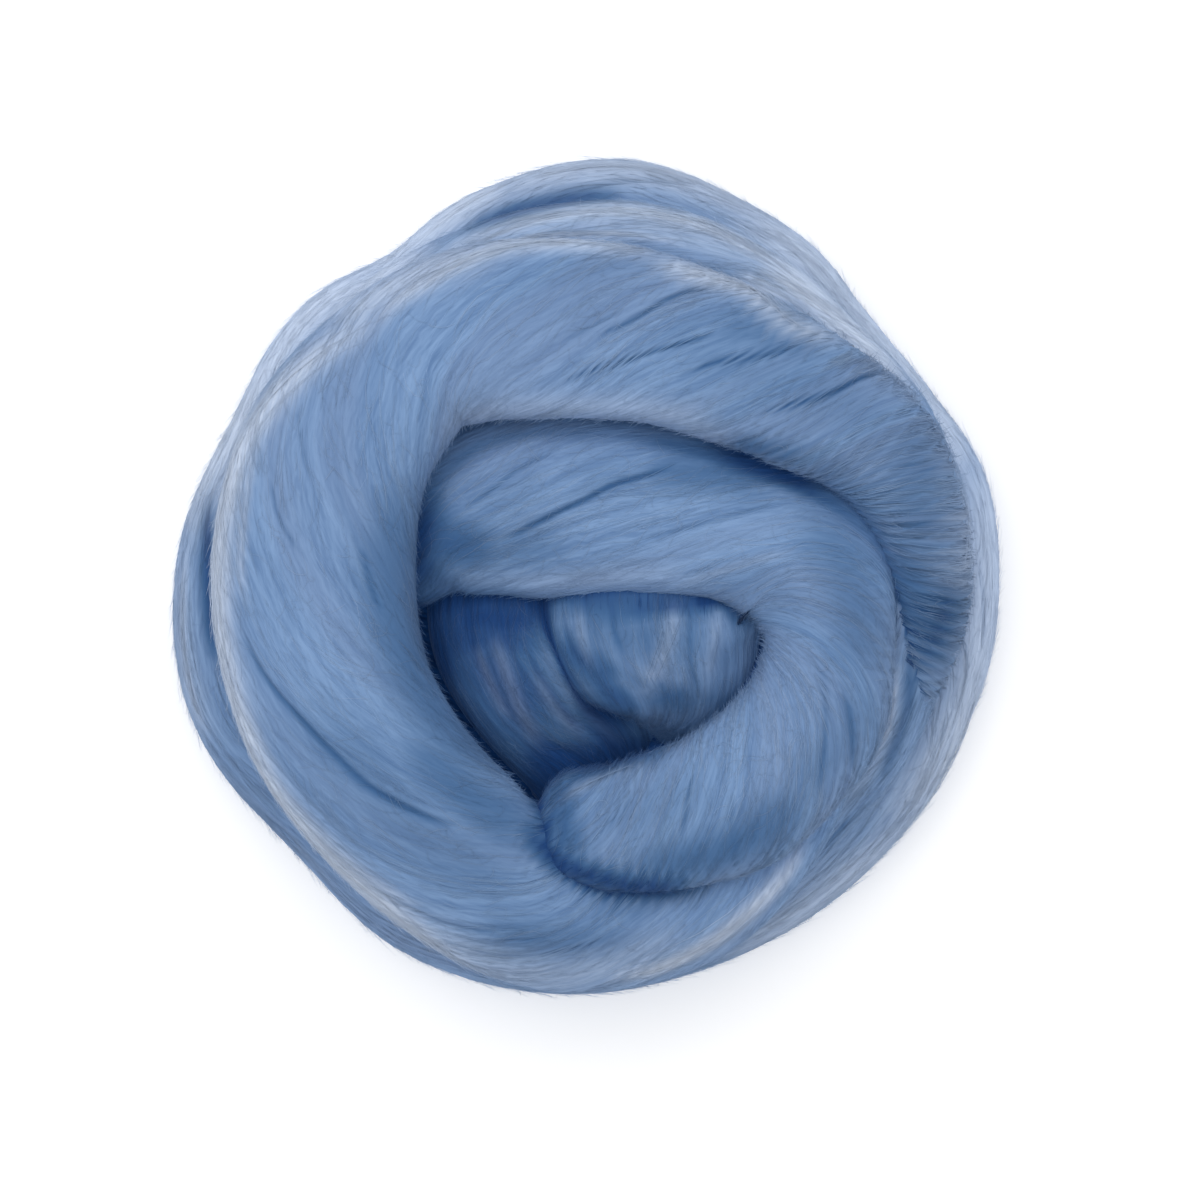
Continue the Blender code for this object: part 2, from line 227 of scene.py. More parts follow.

# Lines that show in the wool from above, each as (width_mm, strength, places from the nest's middle).
# Strands are tresses along a rim, raised a little and painted pale as a highlight where the rim catches
# light. Partings are openings between bundles, cut into the surface and darkened with painted shade.
STRANDS = {
    "top_lap": (
        (1.9, 1.0, ((-29.4, 39.7), (-34.2, 36.5), (-38.7, 33.7), (-43.2, 29.8), (-46.9, 25.7),
                    (-49.8, 21.7), (-51.8, 17.5), (-53.2, 13), (-54.3, 8.5), (-54.9, 3.2), (-55, -2),
                    (-54.8, -7.3), (-54, -12.5), (-52.8, -17.8), (-51, -23), (-48.9, -28.3),
                    (-45.9, -33.1), (-42.4, -37.4), (-38.7, -41.3), (-34.2, -45.5), (-28.8, -50),
                    (-23.7, -54.1), (-17.7, -58), (-10.2, -60.8))),
        (0.8, 0.55, ((-48, -28.3), (-44.4, -33.1), (-40.5, -37.7), (-35.7, -42.2), (-30, -46.4),
                     (-24.6, -49.7))),
        (1.4, 0.75, ((-32.7, 37), (-28.2, 41.2), (-23.7, 43.7), (-19.8, 46), (-13.2, 48.7),
                     (-7.2, 49.7), (0.3, 49.6), (6.3, 49), (10.8, 47.5))),
        (1.5, 0.8, ((10, 47.2), (15.3, 45.2), (20.1, 43.9), (23.6, 42.8), (26.1, 40.6), (29.1, 38),
                    (32.7, 36.5), (36.9, 35.5))),
        (1.1, 0.9, ((1.8, -59.3), (9.3, -58.3), (15.3, -55.9), (19.8, -53.2), (24.3, -49.3),
                    (27.6, -46.1), (30.3, -42.8), (32.1, -39.8))),
        (0.7, 0.45, ((-48.9, 20.5), (-50.7, 11.5), (-51.6, 2.5), (-51.3, -3.5))),
        (1.4, 0.6, ((51, 28.5), (54, 23.5), (55.8, 17), (56.6, 10), (56.4, 3), (55.4, -3))),
    ),
    "middle_lap": (
        (1.4, 0.75, ((-25.2, 46.3), (-19.2, 49.6), (-13.2, 52), (-7.2, 53.6), (-1.2, 54.7),
                     (4.8, 54.7), (10, 53.9), (16.8, 52.4), (22.1, 50), (26.6, 47.6), (31, 44.2),
                     (35.1, 40.6), (38.1, 37.9))),
        (0.7, 0.6, ((-23.7, 45.1), (-16.2, 47.8), (-8.7, 50.5), (-1.2, 51.1), (4.8, 51.1),
                    (10.8, 50.5), (16.8, 49))),
        (0.8, 0.6, ((-43.2, 33.7), (-39.4, 37), (-35.4, 39.7), (-30.6, 41.8), (-26.4, 43))),
        (0.9, 0.6, ((37.5, -32), (39.6, -29.6), (42.3, -26.5), (44.5, -23.2), (45.4, -19.3),
                    (45.8, -13.7))),
        (1.6, 0.7, ((22.8, 45.2), (27.3, 42.5), (31, 41.5), (34, 37.7))),
    ),
    "lower_lap": (
        (1.0, 0.7, ((-13.2, 58.6), (-7.2, 60.1), (0.3, 61.3), (7.8, 61.3), (15.3, 59.2), (21.3, 56.5))),
        (1.6, 0.7, ((20.1, 55.3), (26.1, 52.9), (30.6, 50), (33.9, 46.3), (36.9, 42.4), (40.2, 38.8),
                    (44.4, 34.6), (47.4, 31), (49.8, 27.4))),
        (1.0, 0.8, ((57.6, 16), (59.1, 8.5), (60, 1), (60.1, -6.5), (59.4, -12.5), (57.9, -18.8),
                    (55.8, -24.8), (53.2, -30.1), (50.1, -34.6), (46.8, -38.3), (43.5, -41.9))),
        (0.8, 0.5, ((56.7, 2.5), (57, -5), (56.7, -12.5), (55.4, -19.3), (53.1, -25.7))),
        (0.8, 0.5, ((-60.3, 5.5), (-60.9, -2), (-60.8, -9.5), (-59.7, -17), (-57.6, -23.8))),
        (0.8, 0.5, ((37.8, -44.3), (31.8, -49.3), (25.8, -53), (19.8, -56))),
    ),
    "inner_hook": (
        (0.7, 0.25, ((-4.2, -33.5), (0.3, -30.5), (5.5, -28.7), (9.3, -27.5))),
        (0.8, 0.2, ((10.8, -2), (16.8, -0.1), (24.3, 2.2), (30.3, 3.7))),
    ),
    "heart_fold": (
        (1.2, 0.36, ((13.2, -4.4), (12, -9.5), (10.2, -13.7), (7.8, -17.9))),
        (1.0, 0.22, ((19.2, -5.3), (18.6, -11), (17.4, -16.1))),
        (0.9, 0.25, ((-1.2, -5.8), (-0.9, -9.5), (0.3, -12.8))),
    ),
    "heart_tuck": (
        (1.1, 0.36, ((-13.8, -9.5), (-12, -14.9), (-9.9, -20.3), (-7.5, -24.8))),
        (0.8, 0.34, ((-16.5, -11), (-14.5, -16), (-12, -21))),
        (1.0, 0.26, ((-7.8, -14.5), (-5, -19.5), (-1, -23.5))),
        (1.0, 0.12, ((-4.8, -14.9), (-1.2, -18.8), (2.1, -22.4), (4.5, -25.1))),
    ),
}
PARTINGS = {
    "top_lap": (
        (0.5, 1.0, ((-4.2, 28.6), (-0.9, 29.9), (2.4, 31.1), (6, 31.9), (10, 33.4), (15.3, 35),
                    (18.6, 35.8))),
        (0.5, 1.0, ((14.4, 29.8), (17.1, 31.1), (20.4, 32.2), (24, 32.5), (27.3, 33.1), (31.8, 34))),
        (0.55, 1.0, ((25.8, 24.5), (29.5, 25.3), (33, 26.2), (36, 27.1), (38.7, 28.6), (41.1, 29.8),
                     (44.4, 30.7))),
        (0.6, 0.8, ((1.2, 35.8), (5.1, 37.3), (8.1, 38.9), (11.1, 40.9), (15, 42.5), (20.4, 43.3))),
        (0.5, 0.5, ((23.4, 40), (27.6, 38.8), (32.7, 37.4))),
        (0.5, 0.45, ((-4.2, 34.7), (0.3, 37), (4.8, 39.4))),
        (0.6, 0.6, ((-47.1, 14.8), (-46.4, 10), (-44.5, 6.1), (-42, 3.1))),
        (0.6, 0.5, ((-43.4, 27.1), (-42.8, 22), (-42.1, 17.8), (-41.1, 13.6))),
        (0.5, 0.4, ((-36.3, 21.1), (-35.7, 16.6), (-34.5, 12.4))),
        (0.9, 0.85, ((-51.8, -6.8), (-49.8, -11.9), (-46.8, -16.7), (-43.2, -20.6), (-39.9, -24.2),
                     (-36.3, -27.8), (-32.4, -31.3), (-27.9, -33.8), (-23.4, -35.9), (-19.2, -37.1))),
        (0.6, 0.7, ((-32.1, -46.1), (-28.2, -48.5), (-24.6, -50.3), (-19.8, -52.1), (-14.1, -53.3))),
        (0.4, 0.6, ((-6, -56), (-1.5, -55.4), (2.7, -54.1))),
        (0.4, 0.45, ((-13.5, -54.2), (-6.9, -54.2))),
        (0.8, 0.5, ((-33.3, 4.3), (-32.4, -0.5), (-30.6, -5.3))),
        (0.5, 0.5, ((46.8, 7), (50.5, 7.9), (54.3, 7))),
        (0.5, 0.4, ((43.8, 16), (48.3, 16.6), (52.8, 15.7))),
    ),
    "middle_lap": (
        (0.6, 0.6, ((-29.4, 41.2), (-27, 42.7), (-24.6, 43.9))),
        (0.6, 0.5, ((-38.7, 34), (-35.7, 36.4), (-32.1, 38.2))),
        (0.7, 0.8, ((28.5, -47.3), (31.8, -44.3), (35.1, -40.9), (38.1, -37.9), (40.5, -35.3))),
        (0.6, 0.6, ((21.3, -53), (25.1, -50.3), (28.2, -47.6))),
    ),
    "lower_lap": (
        (0.9, 0.7, ((-10.2, 56.2), (-5, 57.4), (0.3, 58.4), (5.1, 59.2), (10, 59.5), (15.3, 58.9))),
        (0.5, 0.6, ((58.8, 2.5), (59.5, -3.5), (59.4, -9.5))),
        (0.6, 0.5, ((-57.3, 10.7), (-57.1, 2.5), (-56.7, -6.5), (-55.8, -12.8))),
        (0.6, 0.5, ((-51.3, -33.5), (-47.4, -37.1), (-43.2, -40.4))),
    ),
    "inner_hook": (
        (0.8, 1.0, ((-12, 5.5), (-8.7, 7.4), (-4.8, 9.4), (-0.3, 11.5), (3.6, 13.6), (8.1, 14.9),
                    (12.3, 16.3))),
        (0.6, 0.5, ((-17.7, 10.6), (-13.8, 13.3), (-9.9, 16.3), (-4.8, 18.7))),
        (0.4, 0.6, ((15.6, -28.7), (14.7, -33.5), (14.2, -38.3))),
        (0.8, 0.5, ((34.5, -11.8), (35.2, -18.5), (35.2, -24.8), (34.2, -32))),
        (0.9, 0.5, ((38.2, -17), (39.3, -22.4), (39.6, -28.1))),
        (0.5, 0.4, ((21.3, -33.5), (21.6, -38), (22.2, -41))),
        (0.5, 0.4, ((1.8, -38.3), (4.8, -35.3), (9, -32.9))),
        (0.6, 0.4, ((7.8, 5.5), (15.3, 7.3), (22.8, 9.4), (28.8, 11.2))),
        (0.45, 0.12, ((24.4, -5.2), (26.5, -7), (28.8, -10))),
    ),
    "heart_fold": (
        (0.8, 0.5, ((15.3, -4.4), (15.3, -9.5), (15.6, -13.7), (16.8, -17.6))),
        (0.6, 0.6, ((3.6, -4.4), (3.9, -8), (5.1, -11.3))),
        (0.6, 0.5, ((-4.2, -6.5), (-2.4, -11), (0.9, -14.9))),
    ),
    "heart_tuck": (
        (0.9, 0.8, ((-9, -11), (-6.3, -16.1), (-3.3, -20.3), (-0.6, -24.2))),
    ),
}

# The ragged edge on the right, where the top lap's fibres end.
RAGGED_EDGE = ((44, 32), (49.5, 29), (53.5, 23.5), (56, 16), (57, 8), (56.8, 1))

# Places where the wool thins to a whitish veil. Its paleness is painted light: a painted highlight for
# the light that thin wool and its rims let through and catch.
PALE_LIGHT_VEILS = {
    "lower_lap": (
        (3.6, 1.0, ((-60.5, 6), (-59, 13), (-56, 19), (-53, 24), (-50.5, 28), (-47.5, 33),
                    (-43.5, 38.5), (-38.5, 42.5), (-32, 45), (-27, 47.5))),
        (2.2, 0.30, ((-61, 12), (-62, 0), (-61, -12), (-58, -25))),
        (3.0, 1.0, ((-36, 45), (-30, 48.5), (-24, 52.5), (-18, 57), (-12, 60))),
        (4.2, 0.95, ((22, 55), (31, 50), (38, 43.5), (44.5, 36), (50, 29.5), (54, 22), (57.5, 14))),
        (5.0, 0.85, ((60, 22), (61, 10), (61, 0), (60, -10), (58, -19), (55, -27), (51, -33),
                     (46, -38))),
        (3.4, 0.55, ((52, -32), (46, -40), (38, -46), (30, -52), (20, -57))),
        (3.5, 0.70, ((-20, 58), (-8, 61), (4, 62), (16, 60), (26, 55), (36, 46))),
    ),
    "middle_lap": (
        (3.6, 1.0, ((-50, 28), (-46, 34), (-41, 39.5), (-35.5, 43.5), (-29, 46.5), (-24, 49))),
        (3.0, 0.38, ((-22, 47.5), (-12, 52), (0, 53.8), (12, 52.5), (22, 49), (31, 43))),
        (3.0, 0.45, ((35, -33), (41, -27), (45, -19))),
        (3.4, 1.0, ((26, 48), (33, 42.5), (38, 38), (43, 33), (47, 28))),
    ),
    "inner_hook": ((1.8, 0.20, ((-24, -1.2), (-12, -1.4), (0, -0.8), (10, -0.2), (18, -0.8))),),
    "top_lap": (
        (1.8, 0.45, RAGGED_EDGE),
        (3.2, 0.40, ((-28, -51), (-17, -57), (-6, -59), (4, -57.5), (14, -54))),
        (2.0, 0.40, ((-46, -33), (-38, -42), (-28, -50.5))),
        (2.4, 0.60, ((-38, 37), (-33, 40.5), (-28, 43.5), (-22, 46), (-14, 48.5))),
        (2.4, 0.45, ((-21, 20.5), (-15, 23.2), (-8, 24.6), (0, 24.8), (8, 24.4), (14, 23), (20, 20.6))),
    ),
}
# The line past the ragged edge that its fibres' tips reach.
FRINGE = {
    "top_lap": (
        (1.7, 1.0, ((38, 34), (43, 31), (47.5, 28.5), (51.5, 25), (54, 20), (55.3, 14), (56, 8),
                    (55.8, 2.5), (54.8, -2), (53, -6), (51, -10), (49, -14))),
    ),
}
# Painted shade: places where the wool's colour is darkened to stand for the soft shade that lies in its
# creases and pockets.
LEFT_CREASE_SHADE = (1.4, 0.75, ((-57, 13), (-57.3, 5), (-57, -4), (-56.3, -13)))
TOP_CREASE_SHADE = (1.5, 0.75, ((-19, 52), (-14, 53.8), (-10, 55), (-5, 56), (0, 56.7), (5, 57)))
TIP_CREASE_SHADE = (2.1, 0.9, ((-8.8, -35.5), (-8.3, -38.2), (-6, -41), (-2.5, -43.2), (2, -45), (7, -46),
                         (12, -46), (16, -45)))
RIGHT_POCKET_SHADE = (2.4, 0.75, ((54.5, -2), (53, -5.8), (51.5, -9.8), (50.5, -13)))
RIGHT_CREVICE_SHADE = (1.2, 0.6, ((48, -11.8), (48.3, -17), (46.8, -23), (43.8, -30.5)))
SHADES = {
    "top_lap": (
        (7.0, 0.30, ((-42, -20), (-34, -28), (-24, -38), (-10, -48))),
        (6.0, 0.45, ((-28.2, 13), (-29.4, 2.5), (-28.5, -6.5), (-25.2, -15.5), (-20, -23.8),
                     (-13.2, -31.3))),
        TIP_CREASE_SHADE,
        (5.5, 0.45, ((-26, -25), (-17, -33), (-9, -39))),
        (2.5, 0.30, ((0, -48.8), (6, -49.8), (11, -49))),
        (5.5, 0.34, ((48, 22), (49, 14), (49, 6), (49, 0))),
        (4.5, 0.42, ((-16, -53), (-4, -55), (8, -54.5))),
        (1.6, 0.5, ((21, 20), (27, 18.8), (32, 17))),
        (9.0, 0.12, ((-12, 40), (2, 41), (16, 39), (28, 34))),
        (3.2, 0.22, ((-14, 41), (-4, 45), (6, 47), (14, 46))),
        (6.5, 0.26, ((12, 36), (24, 31), (36, 27), (46, 20))),
        (4.5, 0.38, ((20, 37), (28, 36), (35, 33))),
        (3.0, 0.30, ((26, 20), (34, 17), (41, 11), (46, 4))),
        (4.5, 0.50, ((47.6, 2.5), (49, -3.5), (50.6, -10))),
        RIGHT_POCKET_SHADE,
    ),
    "middle_lap": (LEFT_CREASE_SHADE, TOP_CREASE_SHADE, RIGHT_CREVICE_SHADE, RIGHT_POCKET_SHADE),
    "lower_lap": (LEFT_CREASE_SHADE, TOP_CREASE_SHADE, RIGHT_CREVICE_SHADE, RIGHT_POCKET_SHADE),
    "inner_hook": (
        (3.8, 0.45, ((9, 15.5), (16, 15.5), (21, 15), (26, 13.5))),
        TIP_CREASE_SHADE,
        (3.2, 0.6, ((-5, -29), (-4, -33), (-3.5, -38), (-1, -41))),
        (2.3, 0.65, ((-4, -29.5), (2, -28), (11, -25.5))),
        (4.5, 0.5, ((6, -43.5), (15, -42), (24, -39), (31, -33))),
        (4.2, 0.28, ((30, -33), (37.5, -25), (41, -15))),
        (4.8, 0.6, ((-25, 10), (-21, 5.5), (-15, 4))),
        (4.5, 0.32, ((-21, 4.5), (-13, 4), (-5, 4.5))),
        (5.0, 0.2, ((-20, 12), (-14, 11), (-8, 12))),
        (5.0, 0.2, ((-2, 15), (6, 15.5), (12, 15))),
        (6.5, 0.38, ((33, 10), (38, 3), (40, -6), (40, -14))),
        (5.0, 0.22, ((20, -2), (27, -2), (32, -8))),
        (7.0, 0.24, ((2, -36), (9, -35), (16, -32))),
        (4.0, 0.5, ((-24.5, 3.5), (-22.2, -1.3), (-17.7, -3.5), (-10.2, -4.3))),
        (0.8, 0.35, ((-22.2, -3.2), (-13.2, -3.8), (-4.2, -3.8), (4.8, -3.1))),
    ),
    "heart_fold": (
        (2.4, 0.6, ((-7.5, -5), (-7, -9), (-5.5, -13), (-2, -17))),
        (3.4, 0.65, ((-4, -10), (0, -13), (4, -15.5))),
        (2.2, 0.7, ((1.5, -15.5), (4, -18), (7, -19.5))),
        (2.4, 0.45, ((6, -15.5), (10, -17.5), (14, -18))),
        (2.2, 0.8, ((-3, -5), (3, -4.4), (11, -4.2), (19, -4.6))),
        (6.0, 0.38, ((-2, -7), (8, -9), (17, -9))),
        (1.6, 0.25, ((19, -4.8), (23, -5.6), (25, -8))),
    ),
    "heart_tuck": (
        (2.2, 0.85, ((-26, -7), (-23.5, -10.5), (-21, -14.5))),
        (4.2, 0.92, ((-20, -6), (-13, -6.5), (-7.5, -7))),
        (5.0, 0.80, ((-21, -9), (-15, -9), (-8, -9.5))),
        (7.0, 0.76, ((-16, -11), (-12, -16), (-8, -20))),
        (2.6, 0.75, ((-1, -17.5), (2, -20), (6, -22))),
        (1.8, 0.45, ((-8.5, -7), (-8, -11), (-6.5, -14))),
        (2.6, 0.5, ((-20.5, -11), (-18, -16.3), (-15.5, -20.8), (-11.5, -25.7))),
        (3.8, 1.0, ((-9.5, -27), (-1.2, -28.8), (4.8, -28.2), (11.5, -26))),
    ),
}

# Painted light: places where the painted shade is lifted and the wool gets a faint painted glow, for
# light that comes through thin wool, so that its creases stay soft.
HOLLOW_RIM_LIGHT = (2.3, 0.75, ((20.5, 17), (16.6, 19.8), (12.4, 21.6), (7.9, 21.8), (3.8, 21.8), (0, 22.5),
                          (-4, 22.8), (-8.2, 22.8), (-12.6, 22.4), (-17.4, 21), (-21.4, 18),
                          (-23.6, 13.4), (-24.6, 8.8)))
TIP_FOOT_LIGHT = (3.0, 0.75, ((17, -46.5), (23, -44.8), (29, -41.5), (34, -37), (38, -31)))
RIGHT_LIP_LIGHT = (2.2, 0.7, ((34, 15), (39.5, 10), (43.5, 3), (45, -5)))
LEFT_RIM_LIGHT = (5.0, 0.8, ((-52, 26), (-46, 36), (-36, 44), (-27, 49), (-18, 56)))
RIGHT_RIM_LIGHT = (5.0, 0.85, ((22, 55), (31, 50), (38, 43.5), (44.5, 36), (50, 29.5), (55, 21), (59, 12),
                         (61, 0), (60, -10), (57, -22)))
PAINTED_LIGHT_CLEARINGS = {
    "top_lap": (
        HOLLOW_RIM_LIGHT,
        TIP_FOOT_LIGHT,
        RIGHT_LIP_LIGHT,
        (3.0, 0.8, RAGGED_EDGE),
        (2.8, 0.85, ((-16, 23.5), (-8, 25.5), (0, 25.5), (8, 24.5), (14, 23), (18, 21.5))),
        (2.4, 0.8, ((-24, -13), (-20, -19), (-15, -24.5), (-9, -31), (-6, -34))),
    ),
    "middle_lap": (LEFT_RIM_LIGHT, RIGHT_RIM_LIGHT),
    "lower_lap": (LEFT_RIM_LIGHT, RIGHT_RIM_LIGHT),
    "inner_hook": (
        HOLLOW_RIM_LIGHT,
        RIGHT_LIP_LIGHT,
        (2.0, 0.8, ((-25, -2.4), (-12, -2.6), (0, -2.2), (10, -1.4), (18, -2))),
        (2.0, 0.5, ((25, -4), (26, -9), (23, -15), (17, -20))),
    ),
    "heart_fold": (
        (3.6, 0.85, ((24, -4.5), (25, -9), (22, -14), (17, -18))),
        (3.0, 0.8, ((5, -18.5), (10, -21), (15, -21.5), (20, -18.5))),
    ),
    "heart_tuck": (
        (2.4, 0.45, ((-19, -15), (-15, -21), (-12, -25), (-8.5, -29))),
        (2.4, 0.7, ((5, -21), (10, -22.5), (16, -21.5))),
    ),
}
STRAND_HEIGHT_MM = 0.28
PARTING_DEPTH_MM = 0.7
PARTING_WIDTH_SHARE = 0.6  # of the width that the table gives

# name: (points round the band, mm between rings, fibres that lie on it, fibres of fuzz that stand off)
LAP_MESH = {
    "base_coil": (96, 3.0, 400, 300),
    "lower_lap": (230, 2.4, 3700, 4200),
    "middle_lap": (220, 2.4, 2700, 2400),
    "top_lap": (300, 1.9, 5000, 3400),
    "inner_hook": (290, 1.6, 3600, 2600),
    "heart_fold": (200, 1.2, 1000, 1600),
    "heart_tuck": (180, 1.2, 1500, 2000),
    "packed_core": (96, 3.0, 0, 0),
}

# The bundles that the wool parts into, from broad to fine.
# (bundles round the band, depth_mm, half width of the parting_mm, wander, length_mm)
BUNDLES = (
    (9, 0.40, 0.95, 0.60, 46.0),
    (27, 0.12, 0.45, 0.80, 22.0),
    (68, 0.04, 0.24, 0.80, 11.0),
)
LEAST_DRIFTS = 3  # round the band, for the wander of broad bundles
OPEN_LENGTH = 0.8  # of a bundle's length, over which the parting beside it opens and closes
OPENED = (0.35, 0.9)  # how far it opens: usually, and the most that this changes
SWELL_MM = 0.45
SWELLS = (7, 45.0)  # how many lie round the band, and their length_mm
GRAIN_MM = 0.014
GRAINS = (150, 14.0)
WAVE_MM = 1.4  # how far the fibres wander to each side of their way round the band
WAVES = (10, 24.0)

SHORTEST = 1e-12  # length that a vector is taken to have at least
LAST_CELL = 1.001  # off a grid's size, so that a place between two cells has both


def column(table, columns, name):
    return table[:, columns.index(name)]


def unit(vectors):
    return vectors / np.maximum(np.linalg.norm(vectors, axis=-1, keepdims=True), SHORTEST)


def eased(t):
    return t * t * (3 - 2 * t)


def ramp(value, low, high):
    return eased(np.clip((value - low) / (high - low), 0, 1))


def distance_along(points):
    steps = np.linalg.norm(np.diff(points, axis=0), axis=1)
    return np.concatenate([[0], np.cumsum(steps)])


def smooth_rows(rows, per_span):
    """Rows between the given ones, on Catmull-Rom splines through them."""
    rows = np.asarray(rows, float)
    padded = np.vstack([2 * rows[0] - rows[1], rows, 2 * rows[-1] - rows[-2]])
    out = []
    for i in range(1, len(padded) - 2):
        before, start, end, after = padded[i - 1 : i + 3]
        for t in np.arange(per_span) / per_span:
            out.append(
                0.5
                * (
                    2 * start
                    + (end - before) * t
                    + (2 * before - 5 * start + 4 * end - after) * t**2
                    + (3 * start - before - 3 * end + after) * t**3
                )
            )
    out.append(rows[-1])
    return np.array(out)


def even_line(points, step_mm):
    """Places at even steps along a smooth line through the points."""
    line = smooth_rows(points, SPLINE_STEPS)
    travelled = distance_along(line)
    count = max(int(travelled[-1] / step_mm), 2) + 1
    even = np.linspace(0, travelled[-1], count)
    return np.column_stack([np.interp(even, travelled, values) for values in line.T])


def coil_rows(rows):
    """Coil rows with their angle and radius turned into x and y, as the fold rows have them."""
    table = np.asarray(rows, float)
    angle = np.radians(column(table, COIL_COLUMNS, "angle_deg"))
    radius = column(table, COIL_COLUMNS, "radius_mm")
    return np.column_stack([radius * np.cos(angle), radius * np.sin(angle), table[:, 2:]])


def all_round(down, around):
    """Places down a band and round it in turns, as two grids with a row for each place down it."""
    return down[:, None] + np.zeros(around), np.arange(around) / around + np.zeros((len(down), 1))


# Maps of the lines that show from above

MAP_HALF_MM = 66.0
MAP_STEP_MM = 0.25
LINE_REACH = 2.6  # of a line's width, where its mark ends
LINE_FADE_POWER = 6  # the higher, the nearer to its two ends a line fades


def line_map(lines):
    """A map of how strong the nearest line is, over the whole nest, seen from above."""
    cells = np.arange(int(2 * MAP_HALF_MM / MAP_STEP_MM) + 1) * MAP_STEP_MM - MAP_HALF_MM
    grid = np.zeros((len(cells), len(cells)))
    for width, strength, points in lines:
        places = even_line(points, MAP_STEP_MM)
        fades = strength * (1 - np.linspace(-1, 1, len(places)) ** LINE_FADE_POWER)
        reach = int(LINE_REACH * width / MAP_STEP_MM) + 1
        for place, fade in zip(places, fades):
            i, j = ((place + MAP_HALF_MM) / MAP_STEP_MM).astype(int)
            rows, columns = (slice(max(k - reach, 0), k + reach + 1) for k in (i, j))
            across, up = cells[rows, None] - place[0], cells[None, columns] - place[1]
            near = fade * np.exp(-(across**2 + up**2) / width**2)
            patch = grid[rows, columns]
            np.maximum(patch, near, out=patch)
    return grid


def read_map(grid, points):
    """Values of a map under points, between its cells."""
    last = grid.shape[0] - LAST_CELL
    x = np.clip((points[..., 0] + MAP_HALF_MM) / MAP_STEP_MM, 0, last)
    y = np.clip((points[..., 1] + MAP_HALF_MM) / MAP_STEP_MM, 0, last)
    i, j = x.astype(int), y.astype(int)
    x, y = x - i, y - j
    low = grid[i, j] * (1 - x) + grid[i + 1, j] * x
    high = grid[i, j + 1] * (1 - x) + grid[i + 1, j + 1] * x
    return low * (1 - y) + high * y


class Streaks:
    """Random values that run long along the fibres and change quickly across them."""

    def __init__(self, rng, around, length_mm, span_mm):
        self.around = around
        self.length_mm = length_mm
        self.cells = rng.uniform(-1, 1, (around, int(span_mm / length_mm) + 4))
        self.start = rng.uniform(0, 1, around)

    def one(self, index, along):
        place = along / self.length_mm + self.start[index]
        cell = np.clip(np.floor(place).astype(int), 0, self.cells.shape[1] - 2)
        part = eased(np.clip(place - cell, 0, 1))
        return self.cells[index, cell] * (1 - part) + self.cells[index, cell + 1] * part

    def at(self, turn, along):
        """turn is the place round the band in turns, along is in millimetres."""
        place = (turn % 1.0) * self.around
        index = np.floor(place).astype(int) % self.around
        part = eased(place - np.floor(place))
        near = self.one(index, along)
        far = self.one((index + 1) % self.around, along)
        return near * (1 - part) + far * part


def look_up(grid, ring, turn):
    """Values of a grid of rings between its points. ring counts rings and turn wraps round them."""
    ring = np.clip(ring, 0, grid.shape[0] - LAST_CELL)
    low = ring.astype(int)
    up = ring - low
    place = (turn % 1.0) * grid.shape[1]
    left = np.floor(place).astype(int)
    across = place - left
    left %= grid.shape[1]
    right = (left + 1) % grid.shape[1]
    if grid.ndim == 3:
        up, across = up[..., None], across[..., None]
    near = grid[low, left] * (1 - up) + grid[low + 1, left] * up
    far = grid[low, right] * (1 - up) + grid[low + 1, right] * up
    return near * (1 - across) + far * across


# Painted shade: how much of the sky and of the near wool a place sees, and how far its colour is
# darkened for it, to stand for the shade there.
# (share where the colour starts to deepen, share where it is deepest, how much of the whole)
PAINTED_SHADE_BY_SKY = (0.25, 1.0, 0.90)
PAINTED_SHADE_BY_NEAR = (0.20, 0.65, 0.70)
PAINTED_SHADE_BY_PARTING = 0.60
PAINTED_SHADE_BY_VALLEY = (0.10, 0.65, 0.36)


# The maps are seen from above, so they fade out where a flank turns under. This is the upward part of
# the surface's normal where each map starts: partings, strands, veils of painted highlight, painted
# shades and clearings of painted light.
MAPS_START_AT = (0.0, -0.3, -0.25, -0.3, -0.3)
MAPS_RAMP = 0.35
PALE_IN_SHADE = 0.25  # how much of a tress's or veil's painted highlight is left where the painted shade is deepest

# How a line that is given from above is found on a lap
TRACE_STEP_MM = 1.5
HIGHER_WINS = 0.03  # millimetres of distance that a millimetre of height is worth
UNDERSIDE = -0.1  # the upward part of the normal below which no place is taken
TRACE_SMOOTHING = 5
TRACE_REACH = 9  # rings or points that a line may move on from one place to the next
HIDDEN_MM = 1e3  # distance that is added to a place that isn't to be taken
STRAY_MM = 1e4
WAVE_ROUNDS = 4  # of correction for the waves that move a place along
LEAST_OPEN = 0.04  # a place that sees less sky than this is hidden and gets no fibres


